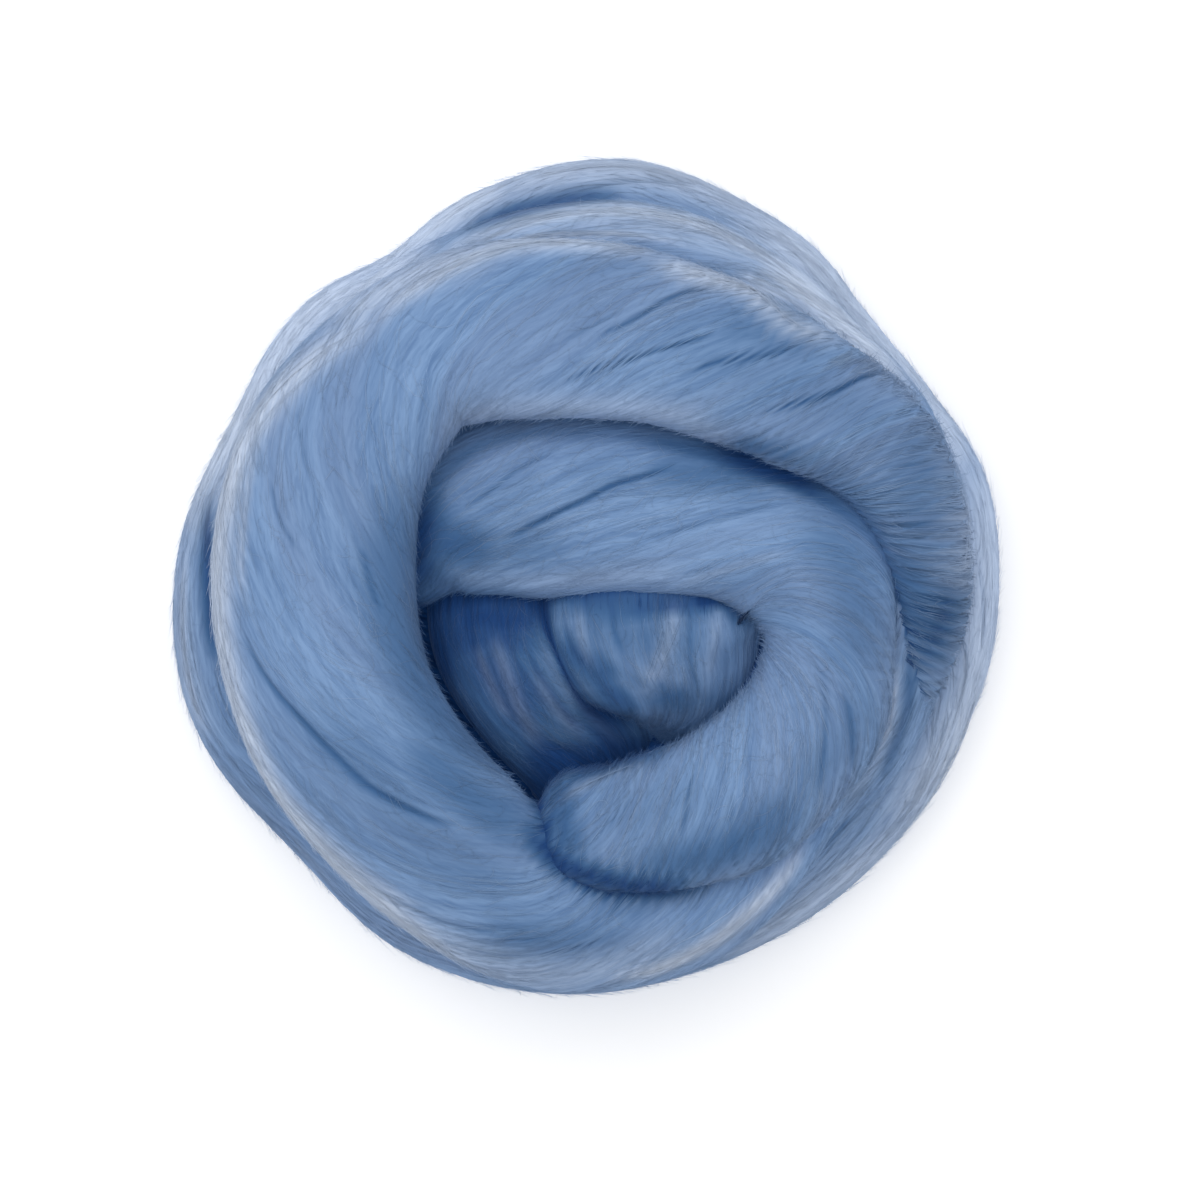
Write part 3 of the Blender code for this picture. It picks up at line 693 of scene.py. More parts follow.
class Band:
    """One lap: its smooth surface, how its fibres turn round it, and the relief of its wool."""

    def __init__(self, name, rows, seed):
        self.name = name
        self.rng = np.random.default_rng(seed)
        sections = smooth_rows(rows, SPLINE_STEPS)
        travelled = distance_along(sections[:, :3])
        self.length = travelled[-1]
        count = int(self.length / LATTICE_MM) + 1
        self.along = np.linspace(0, self.length, count)
        self.spacing = self.along[1]
        even = np.column_stack([np.interp(self.along, travelled, values) for values in sections.T])
        self.lay_surface(even)
        lay = np.radians(column(even, FOLD_COLUMNS, "lay_deg"))
        turning = np.tan(lay) / self.girth
        self.twist = np.concatenate([[0], np.cumsum(turning[1:] * self.spacing)])
        self.lean = np.cos(lay)
        self.lay_relief()

    def lay_surface(self, sections):
        path = sections[:, :3] - (0, 0, TABLE_SINK_MM)
        half_width = column(sections, FOLD_COLUMNS, "half_width_mm")
        half_thickness = column(sections, FOLD_COLUMNS, "half_thickness_mm")
        drop = np.radians(column(sections, FOLD_COLUMNS, "drop_deg"))
        tangent = unit(np.gradient(path, axis=0))
        outward = unit(np.cross(tangent, (0.0, 0.0, 1.0)))
        above = np.cross(outward, tangent)
        from_end = np.minimum(self.along, self.length - self.along)
        dome = np.clip(from_end / END_ROUNDING_MM, SMALLEST_END, 1)
        self.dome = np.sqrt(1 - (1 - dome) ** 2)
        lean, upright = np.sin(drop)[:, None], np.cos(drop)[:, None]
        face = (outward * upright - above * lean) * (half_width * self.dome)[:, None]
        through = (outward * lean + above * upright) * (half_thickness * self.dome)[:, None]

        fine = np.linspace(0, 2 * math.pi, 4 * LATTICE_POINTS + 1)
        power = 2 / SECTION_SQUARENESS
        across = np.sign(np.cos(fine)) * np.abs(np.cos(fine)) ** power
        deep = np.sign(np.sin(fine)) * np.abs(np.sin(fine)) ** power
        evenly = np.arange(LATTICE_POINTS) / LATTICE_POINTS
        self.points = np.empty((len(path), LATTICE_POINTS, 3))
        self.girth = np.empty(len(path))
        for i, middle in enumerate(path):
            ring = middle + across[:, None] * face[i] + deep[:, None] * through[i]
            round_it = distance_along(ring)
            self.girth[i] = round_it[-1]
            for axis in range(3):
                self.points[i, :, axis] = np.interp(
                    evenly * round_it[-1], round_it, ring[:, axis]
                )
        self.girth = np.maximum(self.girth, LEAST_GIRTH * self.girth.max())
        down_band = np.gradient(self.points, axis=0)
        round_band = np.roll(self.points, -1, axis=1) - np.roll(self.points, 1, axis=1)
        self.normals = unit(np.cross(round_band, down_band))
        outside = ((self.points - path[:, None]) * self.normals).sum(axis=(1, 2))
        self.normals *= np.sign(outside)[:, None, None]

    def lay_relief(self):
        self.levels = []
        for bundles, depth, width, wander, length in BUNDLES:
            drift = Streaks(self.rng, max(bundles // 2, LEAST_DRIFTS), length, self.length)
            open_up = Streaks(self.rng, bundles, length * OPEN_LENGTH, self.length)
            self.levels.append((bundles, depth, width, wander, drift, open_up))
        self.swell, self.grain, self.wave = (
            Streaks(self.rng, *streaks, self.length) for streaks in (SWELLS, GRAINS, WAVES)
        )
        partings = [(w * PARTING_WIDTH_SHARE, *rest) for w, *rest in PARTINGS.get(self.name, ())]
        others = [table.get(self.name, ()) for table in (STRANDS, PALE_LIGHT_VEILS, SHADES, PAINTED_LIGHT_CLEARINGS)]
        self.maps = [line_map(rows) for rows in (partings, *others)]

    def at(self, values, along):
        """Values given for every ring, read at places along the band."""
        return np.interp(along, self.along, values)

    def far(self, along):
        """Places along the band, counted in surveyed rings."""
        return along / self.length * (self.sky.shape[0] - 1)

    def place(self, turn, along):
        """Where round the smooth surface a place in the wool lies, by the fibres' twist and waves."""
        return turn + self.at(self.twist, along) + self.waves(turn, along)

    def waves(self, turn, along):
        return WAVE_MM * self.wave.at(turn, along) / self.at(self.girth, along)

    def relief(self, turn, along):
        """Height of the wool over the band's smooth surface, and the part of it that is partings."""
        valley = np.zeros_like(turn)
        girth = self.at(self.girth, along)
        usual, change = OPENED
        for bundles, depth, width, wander, drift, open_up in self.levels:
            phase = (turn * bundles + wander * drift.at(turn, along)) % 1.0
            across = np.minimum(phase, 1 - phase) * girth / bundles / width
            opened = np.clip(usual + change * open_up.at(turn, along), 0, 1)
            valley = valley + depth * np.exp(-(across**2)) * opened
        height = SWELL_MM * self.swell.at(turn, along) + GRAIN_MM * self.grain.at(turn, along)
        lean = self.at(self.lean, along)
        return (height - valley) * lean, valley * lean

    def skin(self, turn, along, lift=0.0):
        """Points on the wool, its smooth normals, and its painted shade, highlight and glow there."""
        ring = along / self.spacing
        place = self.place(turn, along)
        base = look_up(self.points, ring, place)
        normal = unit(look_up(self.normals, ring, place))
        parting, strand, veil_light, shade, clear = (
            read_map(grid, base) * ramp(normal[..., 2], low, low + MAPS_RAMP)
            for grid, low in zip(self.maps, MAPS_START_AT)
        )
        height, valley = self.relief(turn, along)
        height = height + STRAND_HEIGHT_MM * strand - PARTING_DEPTH_MM * parting
        height = height * self.at(self.dome, along) + lift
        points = base + normal * height[..., None]
        points[..., 2] = np.maximum(points[..., 2], FOOT_MM)

        # Painted shade from sky and near wool that others shut off, partings, valleys and shade lines
        shut = 1 - look_up(self.sky, self.far(along), place)
        near = look_up(self.near, self.far(along), place)
        light = np.ones_like(shut)
        for value, (low, high, most) in (
            (shut, PAINTED_SHADE_BY_SKY),
            (near, PAINTED_SHADE_BY_NEAR),
            (valley, PAINTED_SHADE_BY_VALLEY),
        ):
            light = light * (1 - most * ramp(value, low, high))
        light = light + (1 - light) * clear
        light = light * (1 - PAINTED_SHADE_BY_PARTING * parting) * (1 - shade)
        pale = np.clip(np.maximum(strand, veil_light), 0, 1) * (PALE_IN_SHADE + (1 - PALE_IN_SHADE) * light)
        return points, normal, 1 - light, pale, clear

    def is_open(self, turn, along):
        return look_up(self.sky, self.far(along), self.place(turn, along)) > LEAST_OPEN

    def trace(self, points):
        """A line given from above, as places on the band's upper side and the way along the line."""
        x, y, z = np.moveaxis(self.points, -1, 0)
        rings, count = x.shape
        ring, point = np.indices(x.shape)
        far = ring / (rings - 1) * (self.sky.shape[0] - 1)
        hidden = self.normals[..., 2] < UNDERSIDE
        hidden |= look_up(self.sky, far, point / count) < LEAST_OPEN
        cost = np.where(hidden, HIDDEN_MM, 0.0) - HIGHER_WINS * z
        places = even_line(points, TRACE_STEP_MM)
        middle = len(places) // 2
        found = [None] * len(places)
        for steps in (range(middle, len(places)), range(middle, -1, -1)):
            window = np.zeros(x.shape)
            for i in steps:
                off = np.hypot(x - places[i][0], y - places[i][1]) + cost + window
                found[i] = np.unravel_index(np.argmin(off), off.shape)
                aside = np.abs(point - found[i][1])
                aside = np.minimum(aside, count - aside)
                strays = (np.abs(ring - found[i][0]) > TRACE_REACH) | (aside > TRACE_REACH)
                window = np.where(strays, STRAY_MM, 0.0)
        ring, point = np.array(found, float).T
        along = ring * self.spacing
        start = np.unwrap(point / LATTICE_POINTS, period=1.0) - self.at(self.twist, along)
        turn = start
        for _ in range(WAVE_ROUNDS):
            turn = start - self.waves(turn, along)
        kernel = np.ones(TRACE_SMOOTHING) / TRACE_SMOOTHING
        ends = TRACE_SMOOTHING // 2
        turn, along = (
            np.convolve(np.pad(values, ends, mode="edge"), kernel, mode="valid")
            for values in (turn, along)
        )
        return turn, along, distance_along(places)


# How far the laps tuck in where they meet, and how far they shut each other off

SURVEY_MM = 2.0  # between the rings that are surveyed
LEAST_SURVEYED = 4  # stretches between them
LAST_SURVEYED = 1.01  # rings before a lap's end
SURVEY_POINTS = 64
COARSER = 2  # rings and points of a lap for one of the search tree's
BURIED_MM = 1.0  # places further inside other wool than this see no sky
STEEP = 0.9  # the upward part of a normal above which another way than up is taken across it
GAP_REACH_MM = 8.0
TUCK_MM = {"heart_fold": 0.2, "heart_tuck": 0.2}
USUAL_TUCK_MM = 1.1
TUCK_WIDTH_MM = 2.4
SKY_RAYS = 36
SKY_START_MM = 0.5
SKY_REACH_MM = 60.0
NEAR_REACH_MM = 6.0


def ray_fan(count):
    """Directions over a flat place, spread as soft light falls on it."""
    i = np.arange(count) + 0.5
    height = np.sqrt(1 - i / count)
    flat = np.sqrt(1 - height**2)
    angle = i * math.pi * (3 - math.sqrt(5))
    return np.column_stack([flat * np.cos(angle), flat * np.sin(angle), height])


def survey_tree(bands):
    """A search tree of the laps' smooth surfaces, with their faces outwards."""
    corners = []
    faces = []
    for band in bands:
        rings = band.points[::COARSER, ::COARSER]
        start, count = len(corners), rings.shape[1]
        corners.extend(rings.reshape(-1, 3).tolist())
        for i in range(rings.shape[0] - 1):
            low, high = start + i * count, start + (i + 1) * count
            for j in range(count):
                k = (j + 1) % count
                faces.append((low + j, high + j, high + k, low + k))
    return BVHTree.FromPolygons(corners, faces)


def survey_places(band):
    rings = max(int(band.length / SURVEY_MM), LEAST_SURVEYED) + 1
    return all_round(np.linspace(0, len(band.along) - LAST_SURVEYED, rings), SURVEY_POINTS)


def middle_of_nine(grid):
    """The median of each place and its eight neighbours, which drops single stray values."""
    rows = np.pad(grid, ((1, 1), (0, 0)), mode="edge")
    rows = np.stack([rows[:-2], rows[1:-1], rows[2:]])
    return np.median(np.concatenate([np.roll(rows, step, axis=2) for step in (-1, 0, 1)]), axis=0)


def measure_gaps(bands):
    """Signed distance from each lap's surface to the other laps, less than 0 inside them."""
    for name, band in bands.items():
        others = [other for key, other in bands.items() if key != name]
        tree = survey_tree(others)
        ring, turn = survey_places(band)
        points = look_up(band.points, ring, turn).reshape(-1, 3)
        gaps = np.full(len(points), GAP_REACH_MM)
        for i, point in enumerate(points.tolist()):
            place, normal, _, distance = tree.find_nearest(point, GAP_REACH_MM)
            if place is not None:
                side = (Vector(point) - place).dot(normal)
                gaps[i] = math.copysign(distance, side)
        band.gap = middle_of_nine(gaps.reshape(ring.shape))


def tuck_seams(bands):
    """Draws each lap in where it meets another, so that the seam between them is a soft crease."""
    for band in bands.values():
        ring, turn = all_round(np.arange(len(band.along)), LATTICE_POINTS)
        far = ring / (len(band.along) - 1) * (band.gap.shape[0] - 1)
        gap = look_up(band.gap, far, turn)
        depth = TUCK_MM.get(band.name, USUAL_TUCK_MM)
        tuck = depth * np.exp(-((np.maximum(gap, 0) / TUCK_WIDTH_MM) ** 2))
        band.points = band.points - band.normals * tuck[..., None]


def measure_sky(bands):
    """For each lap, the share of the sky that other wool leaves open, and of near wool around."""
    tree = survey_tree(bands.values())
    fan = ray_fan(SKY_RAYS)
    for band in bands.values():
        ring, turn = survey_places(band)
        points = look_up(band.points, ring, turn)
        normals = unit(look_up(band.normals, ring, turn))
        helper = np.where(np.abs(normals[..., 2:]) < STEEP, (0.0, 0.0, 1.0), (1.0, 0.0, 0.0))
        side = unit(np.cross(normals, helper))
        other = np.cross(normals, side)
        starts = points + normals * SKY_START_MM
        band.sky = np.zeros(ring.shape)
        band.near = np.ones(ring.shape)
        for i, j in np.argwhere(band.gap > -BURIED_MM):
            basis = np.array([side[i, j], other[i, j], normals[i, j]])
            origin = Vector(starts[i, j])
            clear = close = 0
            for ray in (fan @ basis).tolist():
                distance = tree.ray_cast(origin, ray, SKY_REACH_MM)[3]
                if distance is None:
                    clear += 1
                elif distance < NEAR_REACH_MM:
                    close += 1
            band.sky[i, j] = clear / SKY_RAYS
            band.near[i, j] = close / SKY_RAYS


@functools.lru_cache(maxsize=None)
def all_bands():
    """Every lap, surveyed together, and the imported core, which sees no sky."""
    tables = {name: coil_rows(rows) for name, rows in COILS.items()} | FOLDS
    seed = bpy.context.scene.roving_wool.seed
    bands = {name: Band(name, rows, seed + i) for i, (name, rows) in enumerate(tables.items())}
    measure_gaps(bands)
    tuck_seams(bands)
    measure_sky(bands)
    core = Band("packed_core", PACKED_CORE, seed + len(tables))
    core.sky, core.near = np.zeros((2, SURVEY_POINTS)), np.ones((2, SURVEY_POINTS))
    bands[core.name] = core
    return bands


# Meshes

UV_MARGIN = 0.02  # round each fibre's cell of the map
BODY_UV_TOP = 0.94  # the rest of a lap's map holds its two end caps
CAP_UV_START = 0.1  # across the map, to the middle of the first cap
CAP_UV_STEP = 0.2  # from there to the other one
CAP_UV_LIFT = 0.002
CAP_UV_MARGIN = 0.005
LAST_RING_MM = 0.02  # before a lap's end


def mesh_piece(name, points_mm, loops, sizes, uv, fields, material, normals=None):
    """An object from flat arrays: loop vertex indices, the size of each face, and a UV per loop."""
    mesh = bpy.data.meshes.new(name)
    mesh.vertices.add(len(points_mm))
    mesh.vertices.foreach_set("co", (points_mm * MM).astype(np.float32).ravel())
    mesh.loops.add(len(loops))
    mesh.loops.foreach_set("vertex_index", loops.astype(np.int32))
    mesh.polygons.add(len(sizes))
    starts = np.concatenate([[0], np.cumsum(sizes)[:-1]])
    mesh.polygons.foreach_set("loop_start", starts.astype(np.int32))
    mesh.update(calc_edges=True)
    mesh.uv_layers.new(name="OFBake").data.foreach_set("uv", uv.astype(np.float32).ravel())
    for field, values in fields.items():
        kind = "FLOAT_VECTOR" if values.ndim == 2 else "FLOAT"
        layer = mesh.attributes.new(field, kind, "POINT")
        layer.data.foreach_set(
            "vector" if values.ndim == 2 else "value", values.astype(np.float32).ravel()
        )
    mesh.shade_smooth()
    if mesh.validate():
        raise RuntimeError(f"{name}: its mesh had faults")
    if normals is not None:
        mesh.normals_split_custom_set_from_vertices(normals.tolist())
    mesh.materials.append(material)
    piece = bpy.data.objects.new(name, mesh)
    bpy.context.scene.collection.objects.link(piece)
    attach(piece, BODY)
    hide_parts(NODE)
    return piece


def fibre_place(turn, along, girth):
    """Where a point lies in the wool, in millimetres, with the band's skin rolled to a cylinder."""
    radius = girth / (2 * math.pi)
    angle = turn * 2 * math.pi
    return np.stack([radius * np.cos(angle), radius * np.sin(angle), along], axis=-1)


def tube_faces(rings, around):
    """Loops and face sizes of a closed tube, from its rings of points and its two tips after them."""
    index = np.arange(rings * around).reshape(rings, around)
    after = np.roll(index, -1, axis=1)
    quads = np.stack([index[:-1], index[1:], after[1:], after[:-1]], axis=-1).reshape(-1, 4)
    tip = rings * around
    first = np.stack([index[0], after[0], np.full(around, tip)], -1)
    last = np.stack([after[-1], index[-1], np.full(around, tip + 1)], -1)
    loops = np.concatenate([quads.ravel(), first.ravel(), last.ravel()])
    return loops, np.concatenate([np.full(len(quads), 4), np.full(2 * around, 3)])


def band_uv(rings, around):
    """The lap's skin laid flat, with its two end caps as discs above it."""
    u = np.arange(around + 1) / around
    v = np.arange(rings) / (rings - 1) * BODY_UV_TOP
    (left, low), (right, high) = np.meshgrid(u[:-1], v[:-1]), np.meshgrid(u[1:], v[1:])
    corners = ((left, low), (left, high), (right, high), (right, low))
    uv = [np.stack([np.stack(corner, -1) for corner in corners], axis=2).reshape(-1, 2)]
    radius = (1 - BODY_UV_TOP) / 2 - CAP_UV_MARGIN
    angle = np.arange(around) * 2 * math.pi / around
    for end, way in ((0, 1), (1, -1)):
        x = CAP_UV_START + CAP_UV_STEP * end
        middle = np.array([x, BODY_UV_TOP + (1 - BODY_UV_TOP) / 2 + CAP_UV_LIFT])
        rim = middle + radius * np.stack([np.cos(angle), np.sin(angle)], -1)
        pair = (rim, np.roll(rim, -1, axis=0))[::way]
        uv.append(np.stack([*pair, np.tile(middle, (around, 1))], axis=1).reshape(-1, 2))
    return np.concatenate(uv)


def build_band(name):
    """The lap's own mesh: rings whose points follow the fibres, closed by a cap at each end."""
    band = all_bands()[name]
    around, ring_mm = LAP_MESH[name][:2]
    rings = int(band.length / ring_mm) + 1
    along, turn = all_round(np.linspace(0, band.length - LAST_RING_MM, rings), around)
    points, _, deep, pale, thin = band.skin(turn, along)
    place = fibre_place(turn, along, band.girth.mean())
    fields = {"fibre": np.concatenate([place.reshape(-1, 3), place[[0, -1], 0]])}
    for field, values, at_tips in (("deep", deep, 1), ("pale", pale, 0), ("thin", thin, 0)):
        fields[field] = np.append(values, [at_tips, at_tips])
    tips = [points[0].mean(axis=0), points[-1].mean(axis=0)]
    all_points = np.concatenate([points.reshape(-1, 3), tips])
    faces = tube_faces(rings, around)
    return mesh_piece(name, all_points, *faces, band_uv(rings, around), fields, wool_material())


# Separate fibres

FIBRE_POINTS = 6  # down a fibre, its two tips included
FIBRE_SIDES = 3
FIBRE_FLATNESS = 0.6
FIBRE_TAPER_POWER = 3  # the higher, the nearer to its tips a fibre starts to taper
END_CLEAR_MM = 5.0  # fibres keep their middles this far from a lap's ends
END_MM = 0.5  # and their points this far
LONGEST_STEP_MM = 14.0  # between two points of a fibre, or it is left out
PALENESS_LOST = 0.8  # how much of a fibre's own paleness goes where the painted shade is deepest
FIBRE_SEED = 1000  # added to the laps' seed
TUCKED_MM = 0.25  # how far a fibre's held end goes under the wool's surface

# The kinds of fibre that lie on a lap. Heading and bend are spreads about the way the wool is combed.
# Roundness is how much of a fibre's own round shape its shading shows, next to the wool's surface.
# (share, lengths_mm, heading_deg, bend_deg, lift_mm, most rise of a free end_mm, widths_mm, pale,
# roundness, fibres to a wisp)
FIBRE_KINDS = (
    (0.46, (9.0, 26.0), 5.0, 10.0, (0.0, 0.10), 0.0, (0.07, 0.16), 0.0, 0.2, 3),
    (0.34, (6.0, 16.0), 14.0, 30.0, (0.0, 0.16), 0.4, (0.06, 0.10), 0.22, 0.25, 6),
    (0.20, (2.5, 7.0), 40.0, 80.0, (0.03, 0.25), 0.5, (0.05, 0.08), 0.22, 0.3, 1),
)
SHORTER = {"base_coil": 0.3, "heart_fold": 0.6, "heart_tuck": 0.6}  # share of those lengths
TRIES_PER_FIBRE = 4
WISP_LENGTH_MM = 4.0  # spread of the places of a wisp's fibres, down the wool
WISP_WIDTH_MM = 0.8  # and across it
WISP_LOOSENESS = 0.35  # how far a fibre's way differs from its wisp's, next to the kind's own spread
LEAST_BRIGHT = 0.5  # of its wisp's paleness, for a fibre in it

# Fibres that run together along a rim, painted pale as a highlight where it catches light
TRESS_FIBRES_PER_MM = 0.6
TRESS_LENGTHS_MM = (14, 40)
TRESS_ASIDE = (0.8, 0.4)  # of the tress's width: between its fibres, and along each of them
TRESS_LIFTS_MM = (0.05, 0.45)
TRESS_PALES = (0.2, 0.6)
TRESS_WIDTHS_MM = (0.06, 0.13)
TRESS_ROUNDNESS = 0.2

# Fibres that end past a ragged edge
FRINGE_FIBRES_PER_MM = 7.0
FRINGE_SPREAD_DEG = (24.0, 45.0)  # of their heading and bend
FRINGE_LENGTHS_MM = (3, 9)
FRINGE_PAST = 1.3  # of the line's width, the furthest that a tip goes past it
FRINGE_LIFT_MM = 0.8
FRINGE_RISE = 0.7  # millimetres up for each one past the line
FRINGE_PALES = (0, 0.3)
FRINGE_WIDTHS_MM = (0.05, 0.09)

# Short fibres that stand off a lap's flanks and lips
FUZZ_POINTS = 4
TRIES_PER_FUZZ = 14
FUZZ_SLOPE = 0.12  # the upward part of the surface's normal where the fuzz is thickest
FUZZ_SLOPE_SPREAD = 0.28
FUZZ_SPREAD_DEG = (32.0, 45.0)
FUZZ_LENGTHS_MM = (2.0, 6.5)
FUZZ_STAND_MM = 0.15  # least height of a tip
FUZZ_RISE_MM = 1.1  # most that is added to it
FUZZ_RISE_POWER = 1.3
FUZZ_HELD_MM = 0.1  # how far the held end goes under the wool's surface
FUZZ_PALES = (0, 0.20)
FUZZ_WIDTHS_MM = (0.04, 0.07)
FUZZ_ROUNDNESS = 0.5


def lay_out(heading, bend, length, points=FIBRE_POINTS):
    """How far fibres go down the wool and across it from their middles, by fibre and point."""
    s = np.linspace(-1, 1, 2 * points - 1)[1::2][None, :]
    angle = heading[:, None] + bend[:, None] * s
    step = length[:, None] / (points - 1)
    start = np.zeros((len(length), 1))
    ways = (
        np.concatenate([start, np.cumsum(part(angle) * step, axis=1)], axis=1)
        for part in (np.cos, np.sin)
    )
    return [way - way.mean(axis=1, keepdims=True) for way in ways]


def in_wool(band, turn, along, down, across):
    """Places in the wool by fibre and point, from a place for each fibre and its lay_out ways."""
    girth = band.at(band.girth, along)
    return turn + across / girth, along + down * band.at(band.lean, along)


def lay_kind(band, rng, count, kind):
    """Fibres of one kind over a whole lap: places in the wool and lift, by fibre and point."""
    _, lengths, heading, bend, lifts, rise, widths, pale, roundness, gathered = kind
    ends = (END_CLEAR_MM, band.length - END_CLEAR_MM)
    along = rng.uniform(*ends, count * TRIES_PER_FIBRE)
    turn = rng.uniform(0, 1, len(along))
    keep = np.flatnonzero(band.is_open(turn, along))[:count]
    along, turn, kept = along[keep], turn[keep], len(keep)
    spread = rng.normal(0, 1, (2, kept))
    bright = rng.uniform(0, 1, kept)
    if gathered > 1:
        wisp = rng.integers(0, max(kept // gathered, 1), kept)
        off = rng.normal(0, 1, (4, kept))
        along = along[wisp] + WISP_LENGTH_MM * off[0]
        turn = turn[wisp] + WISP_WIDTH_MM * off[1] / band.girth.mean()
        spread = spread[:, wisp] + WISP_LOOSENESS * off[2:]
        bright = bright[wisp] * rng.uniform(LEAST_BRIGHT, 1, kept)
    spread = np.radians(spread * [[heading], [bend]])
    ways = lay_out(*spread, rng.uniform(*lengths, kept) * SHORTER.get(band.name, 1.0))
    lines = in_wool(band, turn[:, None], np.clip(along, *ends)[:, None], *ways)
    s = np.linspace(-1, 1, FIBRE_POINTS)[None, :]
    top = rng.uniform(*lifts, kept)[:, None]
    free = rng.uniform(0, rise, kept)[:, None] ** 2
    held = np.where(rise > 0, np.maximum(-s, 0), np.abs(s)) ** 3
    lift = top * (1 - held) - TUCKED_MM * held + free * np.maximum(s, 0) ** 2
    return *lines, lift, rng.uniform(*widths, kept), pale * bright, np.full(kept, roundness)


def lay_tress(band, rng, width, strength, points):
    """Fibres that run together along a rim, painted pale as a highlight."""
    turn, along, span = band.trace(points)
    count = int(span[-1] * TRESS_FIBRES_PER_MM * strength)
    length = np.minimum(rng.uniform(*TRESS_LENGTHS_MM, count), span[-1])
    middle = rng.uniform(0, 1, count) * (span[-1] - length) + length / 2
    s = np.linspace(-1, 1, FIBRE_POINTS)[None, :]
    place = middle[:, None] + s * length[:, None] / 2
    between, down = (rng.normal(0, width * share, count)[:, None] for share in TRESS_ASIDE)
    turn, along = (np.interp(place, span, values) for values in (turn, along))
    lines = in_wool(band, turn, along, 0, between + down * s)
    held = np.abs(s) ** 4
    lift = rng.uniform(*TRESS_LIFTS_MM, count)[:, None] * (1 - held) - TUCKED_MM * held
    pales = rng.uniform(*TRESS_PALES, count) * strength
    widths = rng.uniform(*TRESS_WIDTHS_MM, count)
    return *lines, lift, widths, pales, np.full(count, TRESS_ROUNDNESS)


def lay_fringe(band, rng, width, strength, points):
    """Fibres that end past a ragged edge, with their tips standing off it."""
    turn, along, span = band.trace(points)
    count = int(span[-1] * FRINGE_FIBRES_PER_MM * strength)
    middle = rng.uniform(0, span[-1], count)
    spread = np.radians(rng.normal(0, 1, (2, count)) * np.reshape(FRINGE_SPREAD_DEG, (2, 1)))
    down, across = lay_out(*spread, rng.uniform(*FRINGE_LENGTHS_MM, count))
    past = rng.uniform(0, 1, count) ** 2 * FRINGE_PAST * width
    down = down - down.max(axis=1, keepdims=True) + past[:, None]
    turn, along = (np.interp(middle, span, values)[:, None] for values in (turn, along))
    lines = in_wool(band, turn, along, -np.minimum(down, 0), across)
    s = np.linspace(0, 1, FIBRE_POINTS)[None, :]
    rise = FRINGE_RISE * np.maximum(down, 0)
    lift = rng.uniform(0, FRINGE_LIFT_MM, count)[:, None] * s + rise
    pales = rng.uniform(*FRINGE_PALES, count)
    widths = rng.uniform(*FRINGE_WIDTHS_MM, count)
    return *lines, lift, widths, pales, np.full(count, TRESS_ROUNDNESS)


def lay_fuzz(band, rng, count):
    """Short fine fibres that stand off a lap's flanks and lips."""
    tries = count * TRIES_PER_FUZZ
    along = rng.uniform(END_CLEAR_MM, band.length - END_CLEAR_MM, tries)
    turn = rng.uniform(0, 1, tries)
    normals = look_up(band.normals, along / band.spacing, band.place(turn, along))
    flank = np.exp(-(((normals[:, 2] - FUZZ_SLOPE) / FUZZ_SLOPE_SPREAD) ** 2))
    likely = rng.uniform(0, 1, tries) < flank
    keep = np.flatnonzero(likely & band.is_open(turn, along))[:count]
    along, turn, kept = along[keep][:, None], turn[keep][:, None], len(keep)
    spread = np.radians(rng.normal(0, 1, (2, kept)) * np.reshape(FUZZ_SPREAD_DEG, (2, 1)))
    ways = lay_out(*spread, rng.uniform(*FUZZ_LENGTHS_MM, kept), FUZZ_POINTS)
    s = np.linspace(0, 1, FUZZ_POINTS)[None, :]
    top = FUZZ_STAND_MM + FUZZ_RISE_MM * rng.uniform(0, 1, kept)[:, None] ** 2
    lift = top * s**FUZZ_RISE_POWER - FUZZ_HELD_MM * (1 - s)
    pales = rng.uniform(*FUZZ_PALES, kept)
    widths = rng.uniform(*FUZZ_WIDTHS_MM, kept)
    lines = in_wool(band, turn, along, *ways)
    return *lines, lift, widths, pales, np.full(kept, FUZZ_ROUNDNESS)


def fibre_tubes(lines, normals, radius):
    """Slim three-sided tubes along the lines, pointed at both ends. Points, loops and face sizes."""
    count, rows = lines.shape[:2]
    tangent = unit(np.gradient(lines, axis=1))
    side = unit(np.cross(tangent, normals))
    up = np.cross(side, tangent)
    t = np.abs(np.linspace(-1, 1, rows))
    taper = np.sqrt(np.clip(1 - t**FIBRE_TAPER_POWER, 0, 1))[None, :, None]
    wide = side * radius[:, None, None] * taper
    high = up * radius[:, None, None] * taper * FIBRE_FLATNESS
    angles = np.arange(FIBRE_SIDES) * 2 * math.pi / FIBRE_SIDES + math.pi / 2
    rings = np.stack([lines + wide * math.cos(a) + high * math.sin(a) for a in angles], axis=2)
    inner = rings[:, 1:-1].reshape(count, -1, 3)
    points = np.concatenate([inner, lines[:, :1], lines[:, -1:]], axis=1)
    points[..., 2] = np.maximum(points[..., 2], FOOT_MM)
    pattern, sizes = tube_faces(rows - 2, FIBRE_SIDES)
    starts = (np.arange(count) * points.shape[1])[:, None]
    return points, (starts + pattern).ravel(), np.tile(sizes, count)


def fibre_uv(first, count, total, inner_rows):
    """Each fibre's own small cell of the map, with its sides in lanes."""
    columns = max(int(math.sqrt(total / 2)), 1)
    rows = math.ceil(total / columns)
    u = (np.arange(inner_rows) + 1) / (inner_rows + 1)
    edges = np.arange(FIBRE_SIDES + 1) / FIBRE_SIDES
    lanes = list(zip(edges[:-1], edges[1:]))
    cell = [
        corner
        for start, end in zip(u[:-1], u[1:])
        for low, high in lanes
        for corner in ((start, low), (end, low), (end, high), (start, high))
    ]
    for tip, edge, way in ((0.0, u[0], 1), (1.0, u[-1], -1)):
        for low, high in lanes:
            cell += [*((edge, low), (edge, high))[::way], (tip, (low + high) / 2)]
    cell = UV_MARGIN + np.array(cell) * (1 - 2 * UV_MARGIN)
    number = np.arange(first, first + count)
    corner = np.stack([number % columns, number // columns], -1)[:, None, :]
    return ((corner + cell) / (columns, rows)).reshape(-1, 2)


